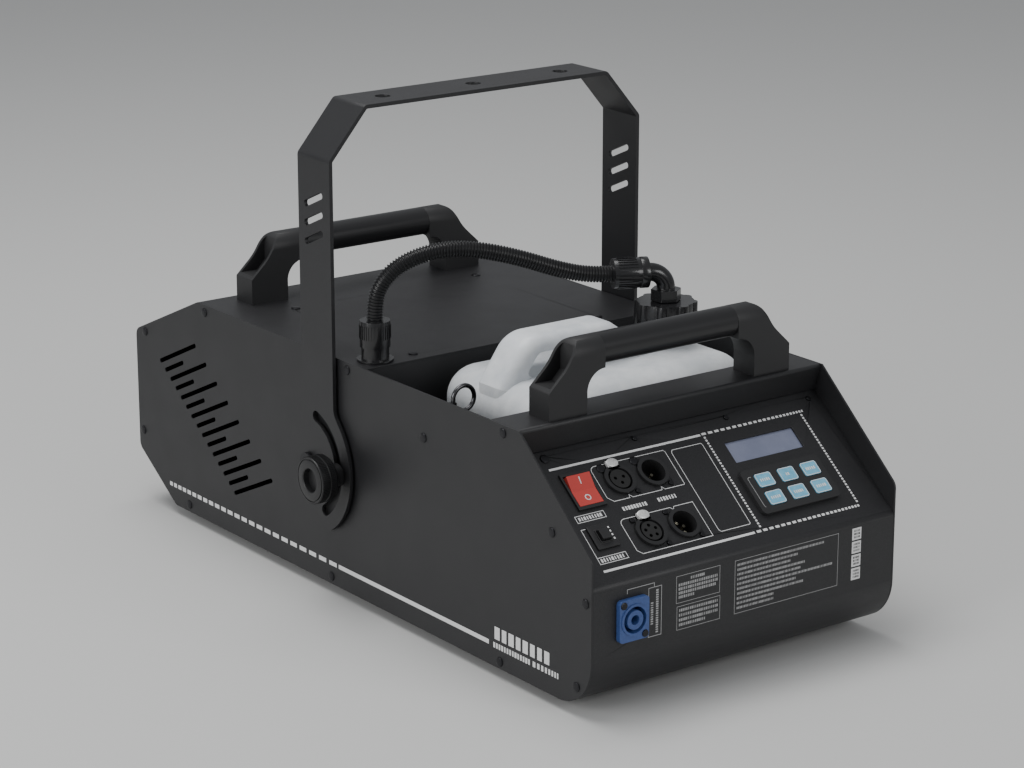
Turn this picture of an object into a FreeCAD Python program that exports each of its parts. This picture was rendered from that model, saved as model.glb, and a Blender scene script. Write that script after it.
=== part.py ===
import FreeCAD, Part
import math
import os
import Sketcher

Vector = FreeCAD.Vector
Rotation = FreeCAD.Rotation

# Driving sizes in millimetres and degrees. The chassis frame has X to the right, Y towards the
# nozzle and Z up from the lower edge of the side plates. "Setback" is measured from the front face.
SIZES = {
    # chassis
    "body_width": 284, "body_length": 618, "body_height": 184.5, "sheet_thickness": 1.5,
    "visor_setback": 83, "front_edge_height": 112, "rear_slope_run": 101.5, "rear_edge_height": 140,
    "rear_low_height": 38, "rear_low_run": 57, "nose_radius": 37, "edge_radius": 8,
    "foot_height": 8, "foot_radius": 16, "foot_inset": 40, "sheet_gap": 0.3, "visor_gap": 1.1,
    # control panel
    "fold_height": 90.4, "panel_slope": 38.9, "panel_length": 115, "panel_tuck": 9, "fold_radius": 6,
    "belly_run": 72, "seat_gap": 0.1,
    # tank bay
    "bay_setback": 118.3, "bay_length": 156.7, "bay_floor": 40,
    # vents in the side plates
    "vent_width": 3.6, "vent_long": 64.3, "vent_short": 33, "vent_angle": 155.5,
    "vent_pitch_run": 16.1, "vent_pitch_drop": 12.15, "vent_from_rear": 39.7, "vent_height": 121.2,
    # machine screws
    "screw_radius": 2, "screw_length": 8, "screw_head_radius": 3.7, "screw_head_height": 1.3,
    "small_head_radius": 2.7,
    # carrying handles
    "handle_half": 112, "handle_post": 34, "handle_depth": 23.6, "handle_height": 54.5, "bar_radius": 11.5,
    "bar_half": 62, "shoulder_height": 20.5, "shoulder_reach": 84, "front_handle_setback": 99.5,
    "rear_handle_setback": 125.5, "pocket_wall": 2.6,
    # yoke and its clamps
    "yoke_half": 147.15, "yoke_thickness": 3, "strap_width": 43, "strap_front": 2, "yoke_top": 375.3,
    "top_half": 114.1, "shoulder_drop": 38.5, "strap_bend": 5, "pivot_y": 36.5, "pivot_z": 95.4,
    "ear_radius": 56, "slot_radius": 40, "slot_width": 9, "slot_low_angle": 238.4,
    "slot_high_angle": 105, "hang_hole_radius": 6, "hang_hole_pitch": 84, "pivot_radius": 4,
    "pivot_head_radius": 7.5, "pivot_head_height": 4, "running_clearance": 0.08, "knob_radius": 18.5,
    "knob_length": 25.7, "knob_hub_radius": 9, "knob_hub_length": 9,
    "knob_dish_radius": 9.2, "knob_dish_depth": 5, "knob_gap": 0.35, "stud_radius": 4, "strap_slot_length": 27,
    "strap_slot_width": 5, "strap_slot_height": 305.5, "strap_slot_pitch": 14.6, "strap_slot_angle": 24,
    # fluid tank and its fittings
    "tank_left": 90, "tank_right": 122, "tank_depth": 128, "tank_height": 145, "tank_wall": 2.5,
    "tank_round": 26, "grip_height": 176, "grip_width": 34, "grip_thick": 13, "grip_round": 9,
    "grip_hole_round": 3.4, "neck_radius": 18,
    "neck_wall": 3, "neck_height": 30.6, "cap_radius": 24.5, "cap_height": 22, "cap_wall": 3,
    "cap_x": 82.5, "cap_gap": 0.4, "lobe_radius": 5, "lobe_count": 8, "elbow_radius": 7,
    "elbow_bore": 4.5, "elbow_height": 242, "elbow_bend": 13, "nut_radius": 12, "nut_height": 9,
    "collar_start": 14.6, "collar_radius": 12, "collar_width": 6.5, "tank_gland_end": 42,
    "gland_radius": 11.6, "pickup_radius": 5.5, "ring_radius": 11, "ring_wire": 1.7,
    # hose and the gland on the rear cover
    "hose_radius": 6.4, "cover_gland_x": 121.5, "cover_gland_setback": 16.2, "cover_gland_top": 216,
    "locknut_height": 11.2, "locknut_radius": 14, "gland_flange": 2,
    # rocker switch and breaker, in panel coordinates
    "rocker_x": -103, "rocker_y": 78, "rocker_width": 25.5, "rocker_length": 31, "rocker_travel": 14,
    "rocker_wall": 2, "rocker_pin_radius": 1.5, "breaker_x": -108.8, "breaker_y": 39,
    "breaker_side": 19.5, "breaker_button": 8, "breaker_proud": 2.4,
    # data sockets, in panel coordinates
    "socket_left_x": -69, "socket_right_x": -39, "socket_upper_y": 79.6, "socket_lower_y": 33.7,
    "socket_radius": 12.3, "socket_proud": 2.2, "socket_deep": 20, "socket_bore": 9.4,
    "insert_radius": 7.9, "pin_radius": 1.2, "pin_length": 7.5, "latch_width": 9.6,
    "latch_height": 5, "latch_rise": 13.4, "flange_dx": 9.5, "flange_dy": 12,
    "flange_width": 26, "flange_height": 31,
    # display and keypad, in panel coordinates
    "display_x": 67.1, "display_y": 79.9, "display_width": 65.4, "display_height": 18.2,
    "keypad_x": 65.6, "keypad_y": 42.1, "keypad_width": 74.6, "keypad_height": 38.4,
    "keypad_proud": 3.2, "keypad_round": 4, "key_width": 15, "key_height": 11.4, "key_gap": 0.3,
    "key_pitch_x": 22, "key_pitch_y": 15.8, "key_first_x": 46, "key_first_y": 34.4,
    # mains inlet on the lower front
    "inlet_x": -107, "inlet_z": 63.6, "inlet_width": 26, "inlet_height": 31, "inlet_proud": 4,
    "inlet_ring_radius": 11.6, "inlet_ring_proud": 0.8, "inlet_groove_radius": 9.8,
    "inlet_core_radius": 7, "inlet_depth": 14,
    # inner works
    "heater_width": 92, "heater_length": 210, "heater_height": 84, "nozzle_reach": 20,
    "nozzle_radius": 11, "nozzle_bore": 4, "nozzle_height": 88, "pump_length": 70, "pump_radius": 24,
}

FRONT = "(-Sizes.body_length / 2)"
REAR = "(Sizes.body_length / 2)"
SIDE = "(Sizes.body_width / 2)"
INSIDE = "(Sizes.body_width / 2 - Sizes.sheet_thickness)"
TOP = "Sizes.body_height"
PLATE = "Sizes.sheet_thickness"
BAY_FRONT = f"({FRONT} + Sizes.bay_setback)"
BAY_REAR = f"({BAY_FRONT} + Sizes.bay_length)"
BAY_MIDDLE = f"({BAY_FRONT} + Sizes.bay_length / 2)"
LIP_Y = f"({FRONT} + Sizes.panel_length * cos(Sizes.panel_slope))"
LIP_Z = "(Sizes.fold_height + Sizes.panel_length * sin(Sizes.panel_slope))"
PIVOT_Y = "Sizes.pivot_y"
PIVOT_Z = "Sizes.pivot_z"
GRIP_GAP_TOP = "(Sizes.bay_floor + Sizes.grip_height - Sizes.grip_thick)"
TANK_TOP = "(Sizes.bay_floor + Sizes.tank_height)"
NECK_TOP = f"({TANK_TOP} + Sizes.neck_height)"
CAP_TOP = f"({NECK_TOP} + Sizes.cap_wall + Sizes.cap_gap)"
GLAND_Y = f"({BAY_REAR} + Sizes.cover_gland_setback)"
GLAND_RUN = f"sqrt((Sizes.cap_x + Sizes.cover_gland_x)^2 + ({GLAND_Y} - {BAY_MIDDLE})^2)"
GLAND_HEADING = f"atan2({GLAND_Y} - {BAY_MIDDLE}; -Sizes.cap_x - Sizes.cover_gland_x)"

# The hose's route in its own upright plane: distance from the tank cap's axis, and height.
# The last point is the cover gland, so its distance is the plane's full run.
HOSE_ROUTE = [
    (42.0, 242.0), (60.0, 242.0), (84.0, 247.6), (113.0, 258.0), (141.0, 265.3), (165.0, 268.0),
    (186.5, 265.3), (204.2, 258.3), (217.2, 247.5), (224.8, 232.5), (224.8, 216.0),
]

FRAME_SHIFT = "(Sizes.inlet_proud + Sizes.screw_head_height - Sizes.nozzle_reach) / 2"
HOMES = {
    "chassis": ("0", FRAME_SHIFT, "Sizes.foot_height", (0, 0, 1), None),
    "panel": ("0", f"{FRONT} + {FRAME_SHIFT}", "Sizes.fold_height + Sizes.foot_height",
              (1, 0, 0), "Sizes.panel_slope"),
    "hose": ("Sizes.cap_x", f"{BAY_MIDDLE} + {FRAME_SHIFT}", "Sizes.foot_height",
             (0, 0, 1), GLAND_HEADING),
}
PLANES = {
    "XY": Rotation(),
    "XZ": Rotation(Vector(1, 0, 0), 90),
    "YZ": Rotation(0.5, 0.5, 0.5, 0.5),
}
AXES = {
    "X": Rotation(Vector(0, 1, 0), 90),
    "Y": Rotation(Vector(1, 0, 0), -90),
    "Z": Rotation(),
}

doc = FreeCAD.newDocument("FogMachine")
sheet = doc.addObject("Spreadsheet::Sheet", "Sizes")
for row, (alias, number) in enumerate(SIZES.items(), start=1):
    sheet.set(f"A{row}", alias)
    sheet.set(f"B{row}", str(number))
    sheet.setAlias(f"B{row}", alias)
gauge = doc.addObject("App::VarSet", "Gauge")
gauge.addProperty("App::PropertyFloat", "Reading")
doc.recompute()
nodes = []


def reading(expression):
    """The number that an expression on the sheet stands for."""
    gauge.setExpression("Reading", f"({expression}) * 1")
    gauge.recompute()
    return gauge.Reading


def bind(item, settings):
    for name, expression in settings.items():
        item.setExpression(name, str(expression))


def keep(item, label, home="chassis"):
    """Give a finished sub-part its label and its placement in the machine's frame."""
    x, y, z, axis, angle = HOMES[home]
    if item.TypeId in ("Part::Box", "Part::Cylinder"):
        piece = item
        piece.Label = f"{label}_solid"
        item = doc.addObject("Part::Compound", label)
        item.Links = [piece]
    item.Label = label
    item.Placement = FreeCAD.Placement(Vector(), Rotation(Vector(*axis), 1 if angle else 0))
    bind(item, {"Placement.Base.x": x, "Placement.Base.y": y, "Placement.Base.z": z})
    if angle:
        bind(item, {"Placement.Rotation.Angle": angle})
    nodes.append(item)
    return item


# Sketch helpers ---------------------------------------------------------------------------------

def pin_point(sketch, geometry, end, x, y):
    """Fix a point of the sketch at expressions x and y."""
    for kind, value in (("DistanceX", x), ("DistanceY", y)):
        number = sketch.addConstraint(
            Sketcher.Constraint(kind, -1, 1, geometry, end, reading(value)))
        sketch.setExpression(f"Constraints[{number}]", str(value))


def set_radius(sketch, geometry, radius):
    number = sketch.addConstraint(Sketcher.Constraint("Radius", geometry, reading(radius)))
    sketch.setExpression(f"Constraints[{number}]", str(radius))


def corner_arc(before, corner, after, radius):
    """Tangent points and centre of the arc that rounds a corner."""
    back = (before - corner).normalize()
    ahead = (after - corner).normalize()
    half = back.getAngle(ahead) / 2
    reach = radius / math.tan(half)
    centre = corner + (back + ahead).normalize() * (radius / math.sin(half))
    return corner + back * reach, corner + ahead * reach, centre


def draw_outline(sketch, corners, closed=True):
    """Straight lines through corners (x, y, radius); a corner with a radius is an arc."""
    count = len(corners)
    points = [Vector(reading(x), reading(y), 0) for x, y, _ in corners]
    bends = []
    for index, (_, _, radius) in enumerate(corners):
        turn = None
        if radius:
            turn = corner_arc(points[index - 1], points[index], points[(index + 1) % count],
                              reading(radius))
        bends.append(turn)
    lines = []
    for index in range(count if closed else count - 1):
        start = bends[index][1] if bends[index] else points[index]
        after = (index + 1) % count
        end = bends[after][0] if bends[after] else points[after]
        lines.append(sketch.addGeometry(Part.LineSegment(start, end)))
    for index, (x, y, radius) in enumerate(corners):
        before = lines[index - 1] if closed or index > 0 else None
        after = lines[index] if closed or index < count - 1 else None
        if bends[index]:
            round_corner(sketch, before, after, bends[index], points[index], corners[index])
        elif after is None:
            pin_point(sketch, before, 2, x, y)
        else:
            if before is not None:
                sketch.addConstraint(Sketcher.Constraint("Coincident", before, 2, after, 1))
            pin_point(sketch, after, 1, x, y)


def round_corner(sketch, before, after, bend, point, corner):
    """Join two lines with a tangent arc whose sharp corner stays where the sheet puts it."""
    first, last, centre = bend
    x, y, radius = corner
    turns_left = (first - centre).cross(last - centre).z > 0
    begin, finish = (first, last) if turns_left else (last, first)
    angles = [math.atan2(p.y - centre.y, p.x - centre.x) for p in (begin, finish)]
    circle = Part.Circle(centre, Vector(0, 0, 1), reading(radius))
    arc = sketch.addGeometry(Part.ArcOfCircle(circle, *angles))
    ends = (1, 2) if turns_left else (2, 1)
    sketch.addConstraint(Sketcher.Constraint("Tangent", before, 2, arc, ends[0]))
    sketch.addConstraint(Sketcher.Constraint("Tangent", after, 1, arc, ends[1]))
    set_radius(sketch, arc, radius)
    sharp = sketch.addGeometry(Part.Point(point), True)
    for line in (before, after):
        sketch.addConstraint(Sketcher.Constraint("PointOnObject", sharp, 1, line))
    pin_point(sketch, sharp, 1, x, y)


def draw_rectangle(sketch, x, y, width, height, radius=None):
    """A rectangle about its centre, with rounded corners where a radius is given."""
    signs = ((-1, -1), (1, -1), (1, 1), (-1, 1))
    draw_outline(sketch, [(f"{x} + {i} * {width} / 2", f"{y} + {j} * {height} / 2", radius)
                          for i, j in signs])


def draw_circle(sketch, x, y, radius):
    centre = Vector(reading(x), reading(y), 0)
    circle = sketch.addGeometry(Part.Circle(centre, Vector(0, 0, 1), reading(radius)))
    pin_point(sketch, circle, 3, x, y)
    set_radius(sketch, circle, radius)


def draw_slot(sketch, x, y, length, angle, width):
    """A slot with round ends; x and y are the middle of its first end's arc."""
    reach = f"({length} - {width})"
    start = Vector(reading(x), reading(y), 0)
    end = start + Vector(reading(f"{reach} * cos({angle})"), reading(f"{reach} * sin({angle})"), 0)
    radius = reading(f"{width} / 2")
    along = (end - start).normalize()
    across = Vector(-along.y, along.x, 0) * radius
    heading = math.atan2(across.y, across.x)
    up = Vector(0, 0, 1)
    near = sketch.addGeometry(
        Part.ArcOfCircle(Part.Circle(start, up, radius), heading, heading + math.pi))
    far = sketch.addGeometry(
        Part.ArcOfCircle(Part.Circle(end, up, radius), heading + math.pi, heading + 2 * math.pi))
    low = sketch.addGeometry(Part.LineSegment(start - across, end - across))
    high = sketch.addGeometry(Part.LineSegment(end + across, start + across))
    pin_point(sketch, near, 3, x, y)
    pin_point(sketch, far, 3, f"{x} + {reach} * cos({angle})", f"{y} + {reach} * sin({angle})")
    set_radius(sketch, near, f"{width} / 2")
    sketch.addConstraint(Sketcher.Constraint("Tangent", near, 2, low, 1))
    sketch.addConstraint(Sketcher.Constraint("Tangent", low, 2, far, 1))
    sketch.addConstraint(Sketcher.Constraint("Tangent", far, 2, high, 1))
    sketch.addConstraint(Sketcher.Constraint("Tangent", high, 2, near, 1))


# Body helpers -----------------------------------------------------------------------------------

def new_body(name, groups=False):
    body = doc.addObject("PartDesign::Body", name)
    body.AllowCompound = groups
    return body


def sketch_on(body, plane, lift="0"):
    """A sketch on one of the body's own origin planes, raised along the plane's normal."""
    sketch = body.newObject("Sketcher::SketchObject", f"{body.Name}_sketch")
    role = f"{plane}_Plane"
    origin = next(item for item in body.Origin.OriginFeatures if item.Role == role)
    sketch.AttachmentSupport = [(origin, "")]
    sketch.MapMode = "FlatFace"
    sketch.setExpression("AttachmentOffset.Base.z", str(lift))
    return sketch


def add_pad(body, sketch, length, middle=False, back=False):
    pad = body.newObject("PartDesign::Pad", f"{body.Name}_pad")
    pad.Profile = sketch
    pad.Midplane = middle
    pad.Reversed = back
    pad.setExpression("Length", str(length))
    doc.recompute()
    return pad


def add_pocket(body, sketch, depth, middle=False, back=False):
    """Cut a pocket and make sure that it took something away."""
    before = body.Shape.Volume
    pocket = body.newObject("PartDesign::Pocket", f"{body.Name}_pocket")
    pocket.Profile = sketch
    pocket.Midplane = middle
    pocket.Reversed = back
    pocket.setExpression("Length", str(depth))
    doc.recompute()
    if not body.Shape.Volume < before:
        raise ValueError(f"{body.Name}: a pocket cuts nothing")
    return pocket


# Primitive and boolean helpers ------------------------------------------------------------------

def cylinder(name, radius, height, at, axis="Z"):
    """A cylinder whose base centre is at the expressions in at."""
    item = doc.addObject("Part::Cylinder", name)
    item.Placement = FreeCAD.Placement(Vector(), AXES[axis])
    bind(item, {"Radius": radius, "Height": height, "Placement.Base.x": at[0],
                "Placement.Base.y": at[1], "Placement.Base.z": at[2]})
    return item


def box(name, size, centre, base):
    """An upright box about a centre (x, y), standing on the height base."""
    item = doc.addObject("Part::Box", name)
    bind(item, {"Length": size[0], "Width": size[1], "Height": size[2],
                "Placement.Base.x": f"{centre[0]} - ({size[0]}) / 2",
                "Placement.Base.y": f"{centre[1]} - ({size[1]}) / 2", "Placement.Base.z": base})
    return item


def fuse(name, items):
    joined = doc.addObject("Part::MultiFuse", name)
    joined.Shapes = items
    joined.Refine = True
    return joined


def cut(name, base, tools):
    """Take the tools away from the base, and make sure that something went."""
    taken = tools[0] if len(tools) == 1 else fuse(f"{name}_tools", tools)
    result = doc.addObject("Part::Cut", name)
    result.Base = base
    result.Tool = taken
    result.Refine = True
    doc.recompute()
    if not result.Shape.Volume < base.Shape.Volume:
        raise ValueError(f"{name}: a cut takes nothing away")
    return result


def common(name, first, second):
    item = doc.addObject("Part::Common", name)
    item.Base, item.Tool = first, second
    return item


def free_sketch(name, plane, home=None):
    """A sketch outside any body, drawn in the chassis frame or on the panel's slope."""
    sketch = doc.addObject("Sketcher::SketchObject", name)
    sketch.Placement = FreeCAD.Placement(Vector(), PLANES[plane])
    if home == "panel":
        sketch.Placement = FreeCAD.Placement(Vector(), Rotation(Vector(1, 0, 0), 1))
        bind(sketch, {"Placement.Base.y": FRONT, "Placement.Base.z": "Sizes.fold_height",
                      "Placement.Rotation.Angle": "Sizes.panel_slope"})
    return sketch


def extrude(name, profile, length, direction, lift="0", middle=False):
    """A solid from a sketch or a face, along a direction, starting lift away from it."""
    solid = doc.addObject("Part::Extrusion", name)
    solid.Base = profile
    solid.DirMode = "Custom"
    solid.Dir = Vector(*direction)
    solid.Solid = True
    solid.Symmetric = middle
    if middle:
        solid.setExpression("LengthFwd", str(length))
    else:
        solid.setExpression("LengthFwd", f"({length}) + ({lift})")
        solid.setExpression("LengthRev", f"-({lift})")
    return solid


def bent_sheet(name, corners, width, plane="YZ", thickness=PLATE):
    """Folded sheet metal: an outer line through corners, thickened to one side, made wide."""
    path = free_sketch(f"{name}_line", plane)
    draw_outline(path, corners, closed=False)
    band = doc.addObject("Part::Offset2D", f"{name}_band")
    band.Source = path
    band.Mode = "Skin"
    band.Join = "Intersection"
    band.Fill = True
    band.setExpression("Value", thickness)
    direction = (1, 0, 0) if plane == "YZ" else (0, 1, 0)
    return extrude(f"{name}_sheet", band, width, direction, middle=True)


# Chassis sheet metal ----------------------------------------------------------------------------

SIDE_SCREWS = [
    (f"{REAR} - 14.7", "Sizes.rear_edge_height + 0.5"), (f"{REAR} - 112", f"{TOP} - 6.5"),
    (f"{BAY_REAR} + 24", f"{TOP} - 6"), (f"{BAY_MIDDLE} + 2.6", f"{TOP} - 34"),
    (f"{BAY_FRONT} - 16.3", f"{TOP} - 6"), (f"{FRONT} + 45", "Sizes.front_edge_height + 9"),
    (f"{FRONT} + 6.5", "Sizes.fold_height - 10.6"), (f"{FRONT} + 16", "15.5"),
    (f"{FRONT} + 106", "5.4"), ("16.3", "6.2"), (f"{REAR} - 79", "6.1"), (f"{REAR} - 6.8", "53"),
]


def draw_vents(sketch):
    """Eight long louvre slots with seven short ones between them, stepping down the plate."""
    for step in range(15):
        length = "Sizes.vent_short" if step % 2 else "Sizes.vent_long"
        draw_slot(sketch, f"{REAR} - Sizes.vent_from_rear - {step} * Sizes.vent_pitch_run / 2",
                  f"Sizes.vent_height - {step} * Sizes.vent_pitch_drop / 2",
                  length, "Sizes.vent_angle", "Sizes.vent_width")


def side_plate(label, lift):
    body = new_body(label)
    outline = sketch_on(body, "YZ", lift)
    draw_outline(outline, [
        (FRONT, "0", "Sizes.nose_radius"),
        (f"{REAR} - Sizes.rear_low_run", "0", "Sizes.edge_radius"),
        (REAR, "Sizes.rear_low_height", "Sizes.edge_radius"),
        (REAR, "Sizes.rear_edge_height", "Sizes.edge_radius"),
        (f"{REAR} - Sizes.rear_slope_run", TOP, "Sizes.edge_radius"),
        (f"{FRONT} + Sizes.visor_setback", TOP, None),
        (FRONT, "Sizes.front_edge_height", "Sizes.edge_radius"),
    ])
    add_pad(body, outline, PLATE)
    openings = sketch_on(body, "YZ", f"{lift} - Sizes.sheet_thickness")
    draw_vents(openings)
    for y, z in SIDE_SCREWS:
        draw_circle(openings, y, z, "Sizes.screw_radius + Sizes.seat_gap")
    draw_circle(openings, PIVOT_Y, PIVOT_Z, "Sizes.pivot_radius + Sizes.seat_gap")
    draw_circle(openings, f"{PIVOT_Y} - Sizes.slot_radius", PIVOT_Z,
                "Sizes.stud_radius + Sizes.running_clearance")
    add_pocket(body, openings, "3 * Sizes.sheet_thickness", back=True)
    keep(body, label)


def control_panel():
    """Sloped panel, front face and curved nose in one sheet, with its cut-outs."""
    top_run = "(Sizes.panel_length + Sizes.panel_tuck)"
    sheet_part = bent_sheet("panel_blank", [
        (f"{FRONT} + Sizes.belly_run", "0", None),
        (FRONT, "0", "Sizes.nose_radius"),
        (FRONT, "Sizes.fold_height", "Sizes.fold_radius"),
        (f"{FRONT} + {top_run} * cos(Sizes.panel_slope)",
         f"Sizes.fold_height + {top_run} * sin(Sizes.panel_slope)", None),
    ], f"2 * {INSIDE}")
    holes = free_sketch("panel_holes", "XY", "panel")
    draw_rectangle(holes, "Sizes.rocker_x", "Sizes.rocker_y", "(Sizes.rocker_width - 3)",
                   "(Sizes.rocker_length - 3)")
    draw_rectangle(holes, "Sizes.breaker_x", "Sizes.breaker_y", "(Sizes.breaker_side - 3)",
                   "(Sizes.breaker_side - 3)")
    for x in ("Sizes.socket_left_x", "Sizes.socket_right_x"):
        for y in ("Sizes.socket_upper_y", "Sizes.socket_lower_y"):
            draw_circle(holes, x, y, "Sizes.socket_radius + Sizes.seat_gap")
    draw_rectangle(holes, "Sizes.display_x", "Sizes.display_y", "Sizes.display_width",
                   "Sizes.display_height")
    for x, y in PANEL_SCREWS + SOCKET_SCREWS:
        draw_circle(holes, x, y, "Sizes.screw_radius + Sizes.seat_gap")
    latches = free_sketch("latch_slots", "XY", "panel")
    for y in ("Sizes.socket_upper_y", "Sizes.socket_lower_y"):
        draw_rectangle(latches, "Sizes.socket_left_x", f"{y} + Sizes.latch_rise",
                       "(Sizes.latch_width + 0.8)", "(Sizes.latch_height + 0.8)")
    slope = math.radians(reading("Sizes.panel_slope"))
    outward = (0, -math.sin(slope), math.cos(slope))
    slanted = [extrude(f"{sketch.Name}_cut", sketch, "3 * Sizes.sheet_thickness", outward,
                       middle=True) for sketch in (holes, latches)]
    inlet = cylinder("inlet_hole", "Sizes.inlet_ring_radius + Sizes.seat_gap",
                     "4 * Sizes.sheet_thickness",
                     ("Sizes.inlet_x", f"{FRONT} - 2 * Sizes.sheet_thickness", "Sizes.inlet_z"), "Y")
    inlet_screws = [
        cylinder(f"inlet_screw_hole_{side}", "Sizes.screw_radius + Sizes.seat_gap",
                 "4 * Sizes.sheet_thickness",
                 (f"Sizes.inlet_x - {side} * Sizes.flange_dx",
                  f"{FRONT} - 2 * Sizes.sheet_thickness",
                  f"Sizes.inlet_z + {side} * Sizes.flange_dy"), "Y") for side in (-1, 1)]
    keep(cut("control_panel", sheet_part, slanted + [inlet] + inlet_screws), "control_panel")


PANEL_SCREWS = [(x, "Sizes.panel_length - 5.6") for x in ("-118", "-37", "49", "130")]
SOCKET_SCREWS = [
    (f"{x} + {side} * Sizes.flange_dx", f"{y} - {side} * Sizes.flange_dy")
    for x in ("Sizes.socket_left_x", "Sizes.socket_right_x")
    for y in ("Sizes.socket_upper_y", "Sizes.socket_lower_y") for side in (-1, 1)]
COVER_SCREWS = [
    (f"{i} * ({INSIDE} - 51.6)", y)
    for i in (-1, 1) for y in (f"{BAY_REAR} + 13.3", f"{REAR} - Sizes.rear_handle_setback - 40")]


def covers():
    """Front top plate with its visor, rear cover, nozzle end panel and bottom pan."""
    keep(bent_sheet("front_top", [
        (LIP_Y, f"{LIP_Z} + Sizes.visor_gap", None),
        (f"{FRONT} + Sizes.visor_setback", TOP, "2.5"),
        (BAY_FRONT, TOP, None),
    ], f"2 * {INSIDE}"), "front_top_plate")
    cover = bent_sheet("rear_cover", [
        (BAY_REAR, TOP, None),
        (f"{REAR} - Sizes.rear_slope_run", TOP, "Sizes.edge_radius"),
        (REAR, "Sizes.rear_edge_height", None),
    ], f"2 * {INSIDE}")
    tools = [cylinder(f"cover_screw_hole_{index}", "Sizes.screw_radius + Sizes.seat_gap", "6",
                      (x, y, f"{TOP} - 4")) for index, (x, y) in enumerate(COVER_SCREWS)]
    tools.append(cylinder("gland_hole", "Sizes.hose_radius + 1", "6",
                          ("-Sizes.cover_gland_x", GLAND_Y, f"{TOP} - 4")))
    keep(cut("rear_top_cover", cover, tools), "rear_top_cover")
    end = bent_sheet("nozzle_end", [
        (REAR, "Sizes.rear_edge_height - 1.2 * Sizes.sheet_thickness", None),
        (REAR, "Sizes.rear_low_height", "Sizes.edge_radius"),
        (f"{REAR} - Sizes.rear_low_run", "0", None),
    ], f"2 * {INSIDE}")
    opening = cylinder("nozzle_opening", "Sizes.nozzle_radius + 5", "12",
                       ("0", f"{REAR} - 6", "Sizes.nozzle_height"), "Y")
    keep(cut("nozzle_end_panel", end, [opening]), "nozzle_end_panel")
    pan = new_body("bottom_pan")
    outline = sketch_on(pan, "YZ")
    draw_outline(outline, [
        (f"{FRONT} + Sizes.belly_run + Sizes.sheet_gap", "0", None),
        (f"{REAR} - Sizes.rear_low_run - 2 * Sizes.sheet_thickness", "0", None),
        (f"{REAR} - Sizes.rear_low_run - 2 * Sizes.sheet_thickness", PLATE, None),
        (f"{FRONT} + Sizes.belly_run + Sizes.sheet_gap", PLATE, None),
    ])
    add_pad(pan, outline, f"2 * {INSIDE}", middle=True)
    keep(pan, "bottom_pan")


def tank_bay():
    """The open tray that the tank stands in."""
    keep(bent_sheet("tray", [
        (BAY_REAR, f"{TOP} - Sizes.sheet_thickness", None),
        (BAY_REAR, "Sizes.bay_floor", "3"),
        (BAY_FRONT, "Sizes.bay_floor", "3"),
        (BAY_FRONT, f"{TOP} - Sizes.sheet_thickness", None),
    ], f"2 * {INSIDE}", thickness="-Sizes.sheet_thickness"), "tank_bay")


def feet():
    body = new_body("feet", groups=True)
    sketch = sketch_on(body, "XY", "-Sizes.foot_height")
    for x in (-1, 1):
        for y in (f"{FRONT} + Sizes.belly_run + Sizes.foot_inset",
                  f"{REAR} - Sizes.rear_low_run - Sizes.foot_inset"):
            draw_circle(sketch, f"{x} * ({SIDE} - Sizes.foot_inset)", y, "Sizes.foot_radius")
    add_pad(body, sketch, "Sizes.foot_height")
    keep(body, "feet")


def screw_group(label, home, plane, spots, face, head="Sizes.screw_head_radius", mirrored=False):
    """Pan-head screws: a group of separate solids with heads on a face."""
    body = new_body(label, groups=True)
    sides = (1, -1) if mirrored else (1,)
    for side in sides:
        lift = f"{side} * ({face})"
        back = side < 0
        heads = sketch_on(body, plane, lift)
        shanks = sketch_on(body, plane, lift)
        for x, y in spots:
            draw_circle(heads, x, y, head)
            draw_circle(shanks, x, y, "Sizes.screw_radius")
        add_pad(body, heads, "Sizes.screw_head_height", back=back)
        add_pad(body, shanks, "Sizes.screw_length", back=not back)
    keep(body, label, home)


# Handles ----------------------------------------------------------------------------------------

def handle_arch(name, y, wall):
    """A post's section across the machine, round on top, drawn in by a wall's thickness."""
    half = f"(Sizes.handle_depth / 2 - {wall})"
    crown = f"{TOP} + Sizes.handle_height - {wall}"
    sketch = free_sketch(f"{name}_section", "YZ")
    draw_outline(sketch, [
        (f"{y} + {half}", f"{TOP} - 1", None), (f"{y} + {half}", crown, f"{half} - 0.05"),
        (f"{y} - {half}", crown, f"{half} - 0.05"), (f"{y} - {half}", f"{TOP} - 1", None),
    ])
    return extrude(name, sketch, "2 * Sizes.handle_half + 10", (1, 0, 0), middle=True)


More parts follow.
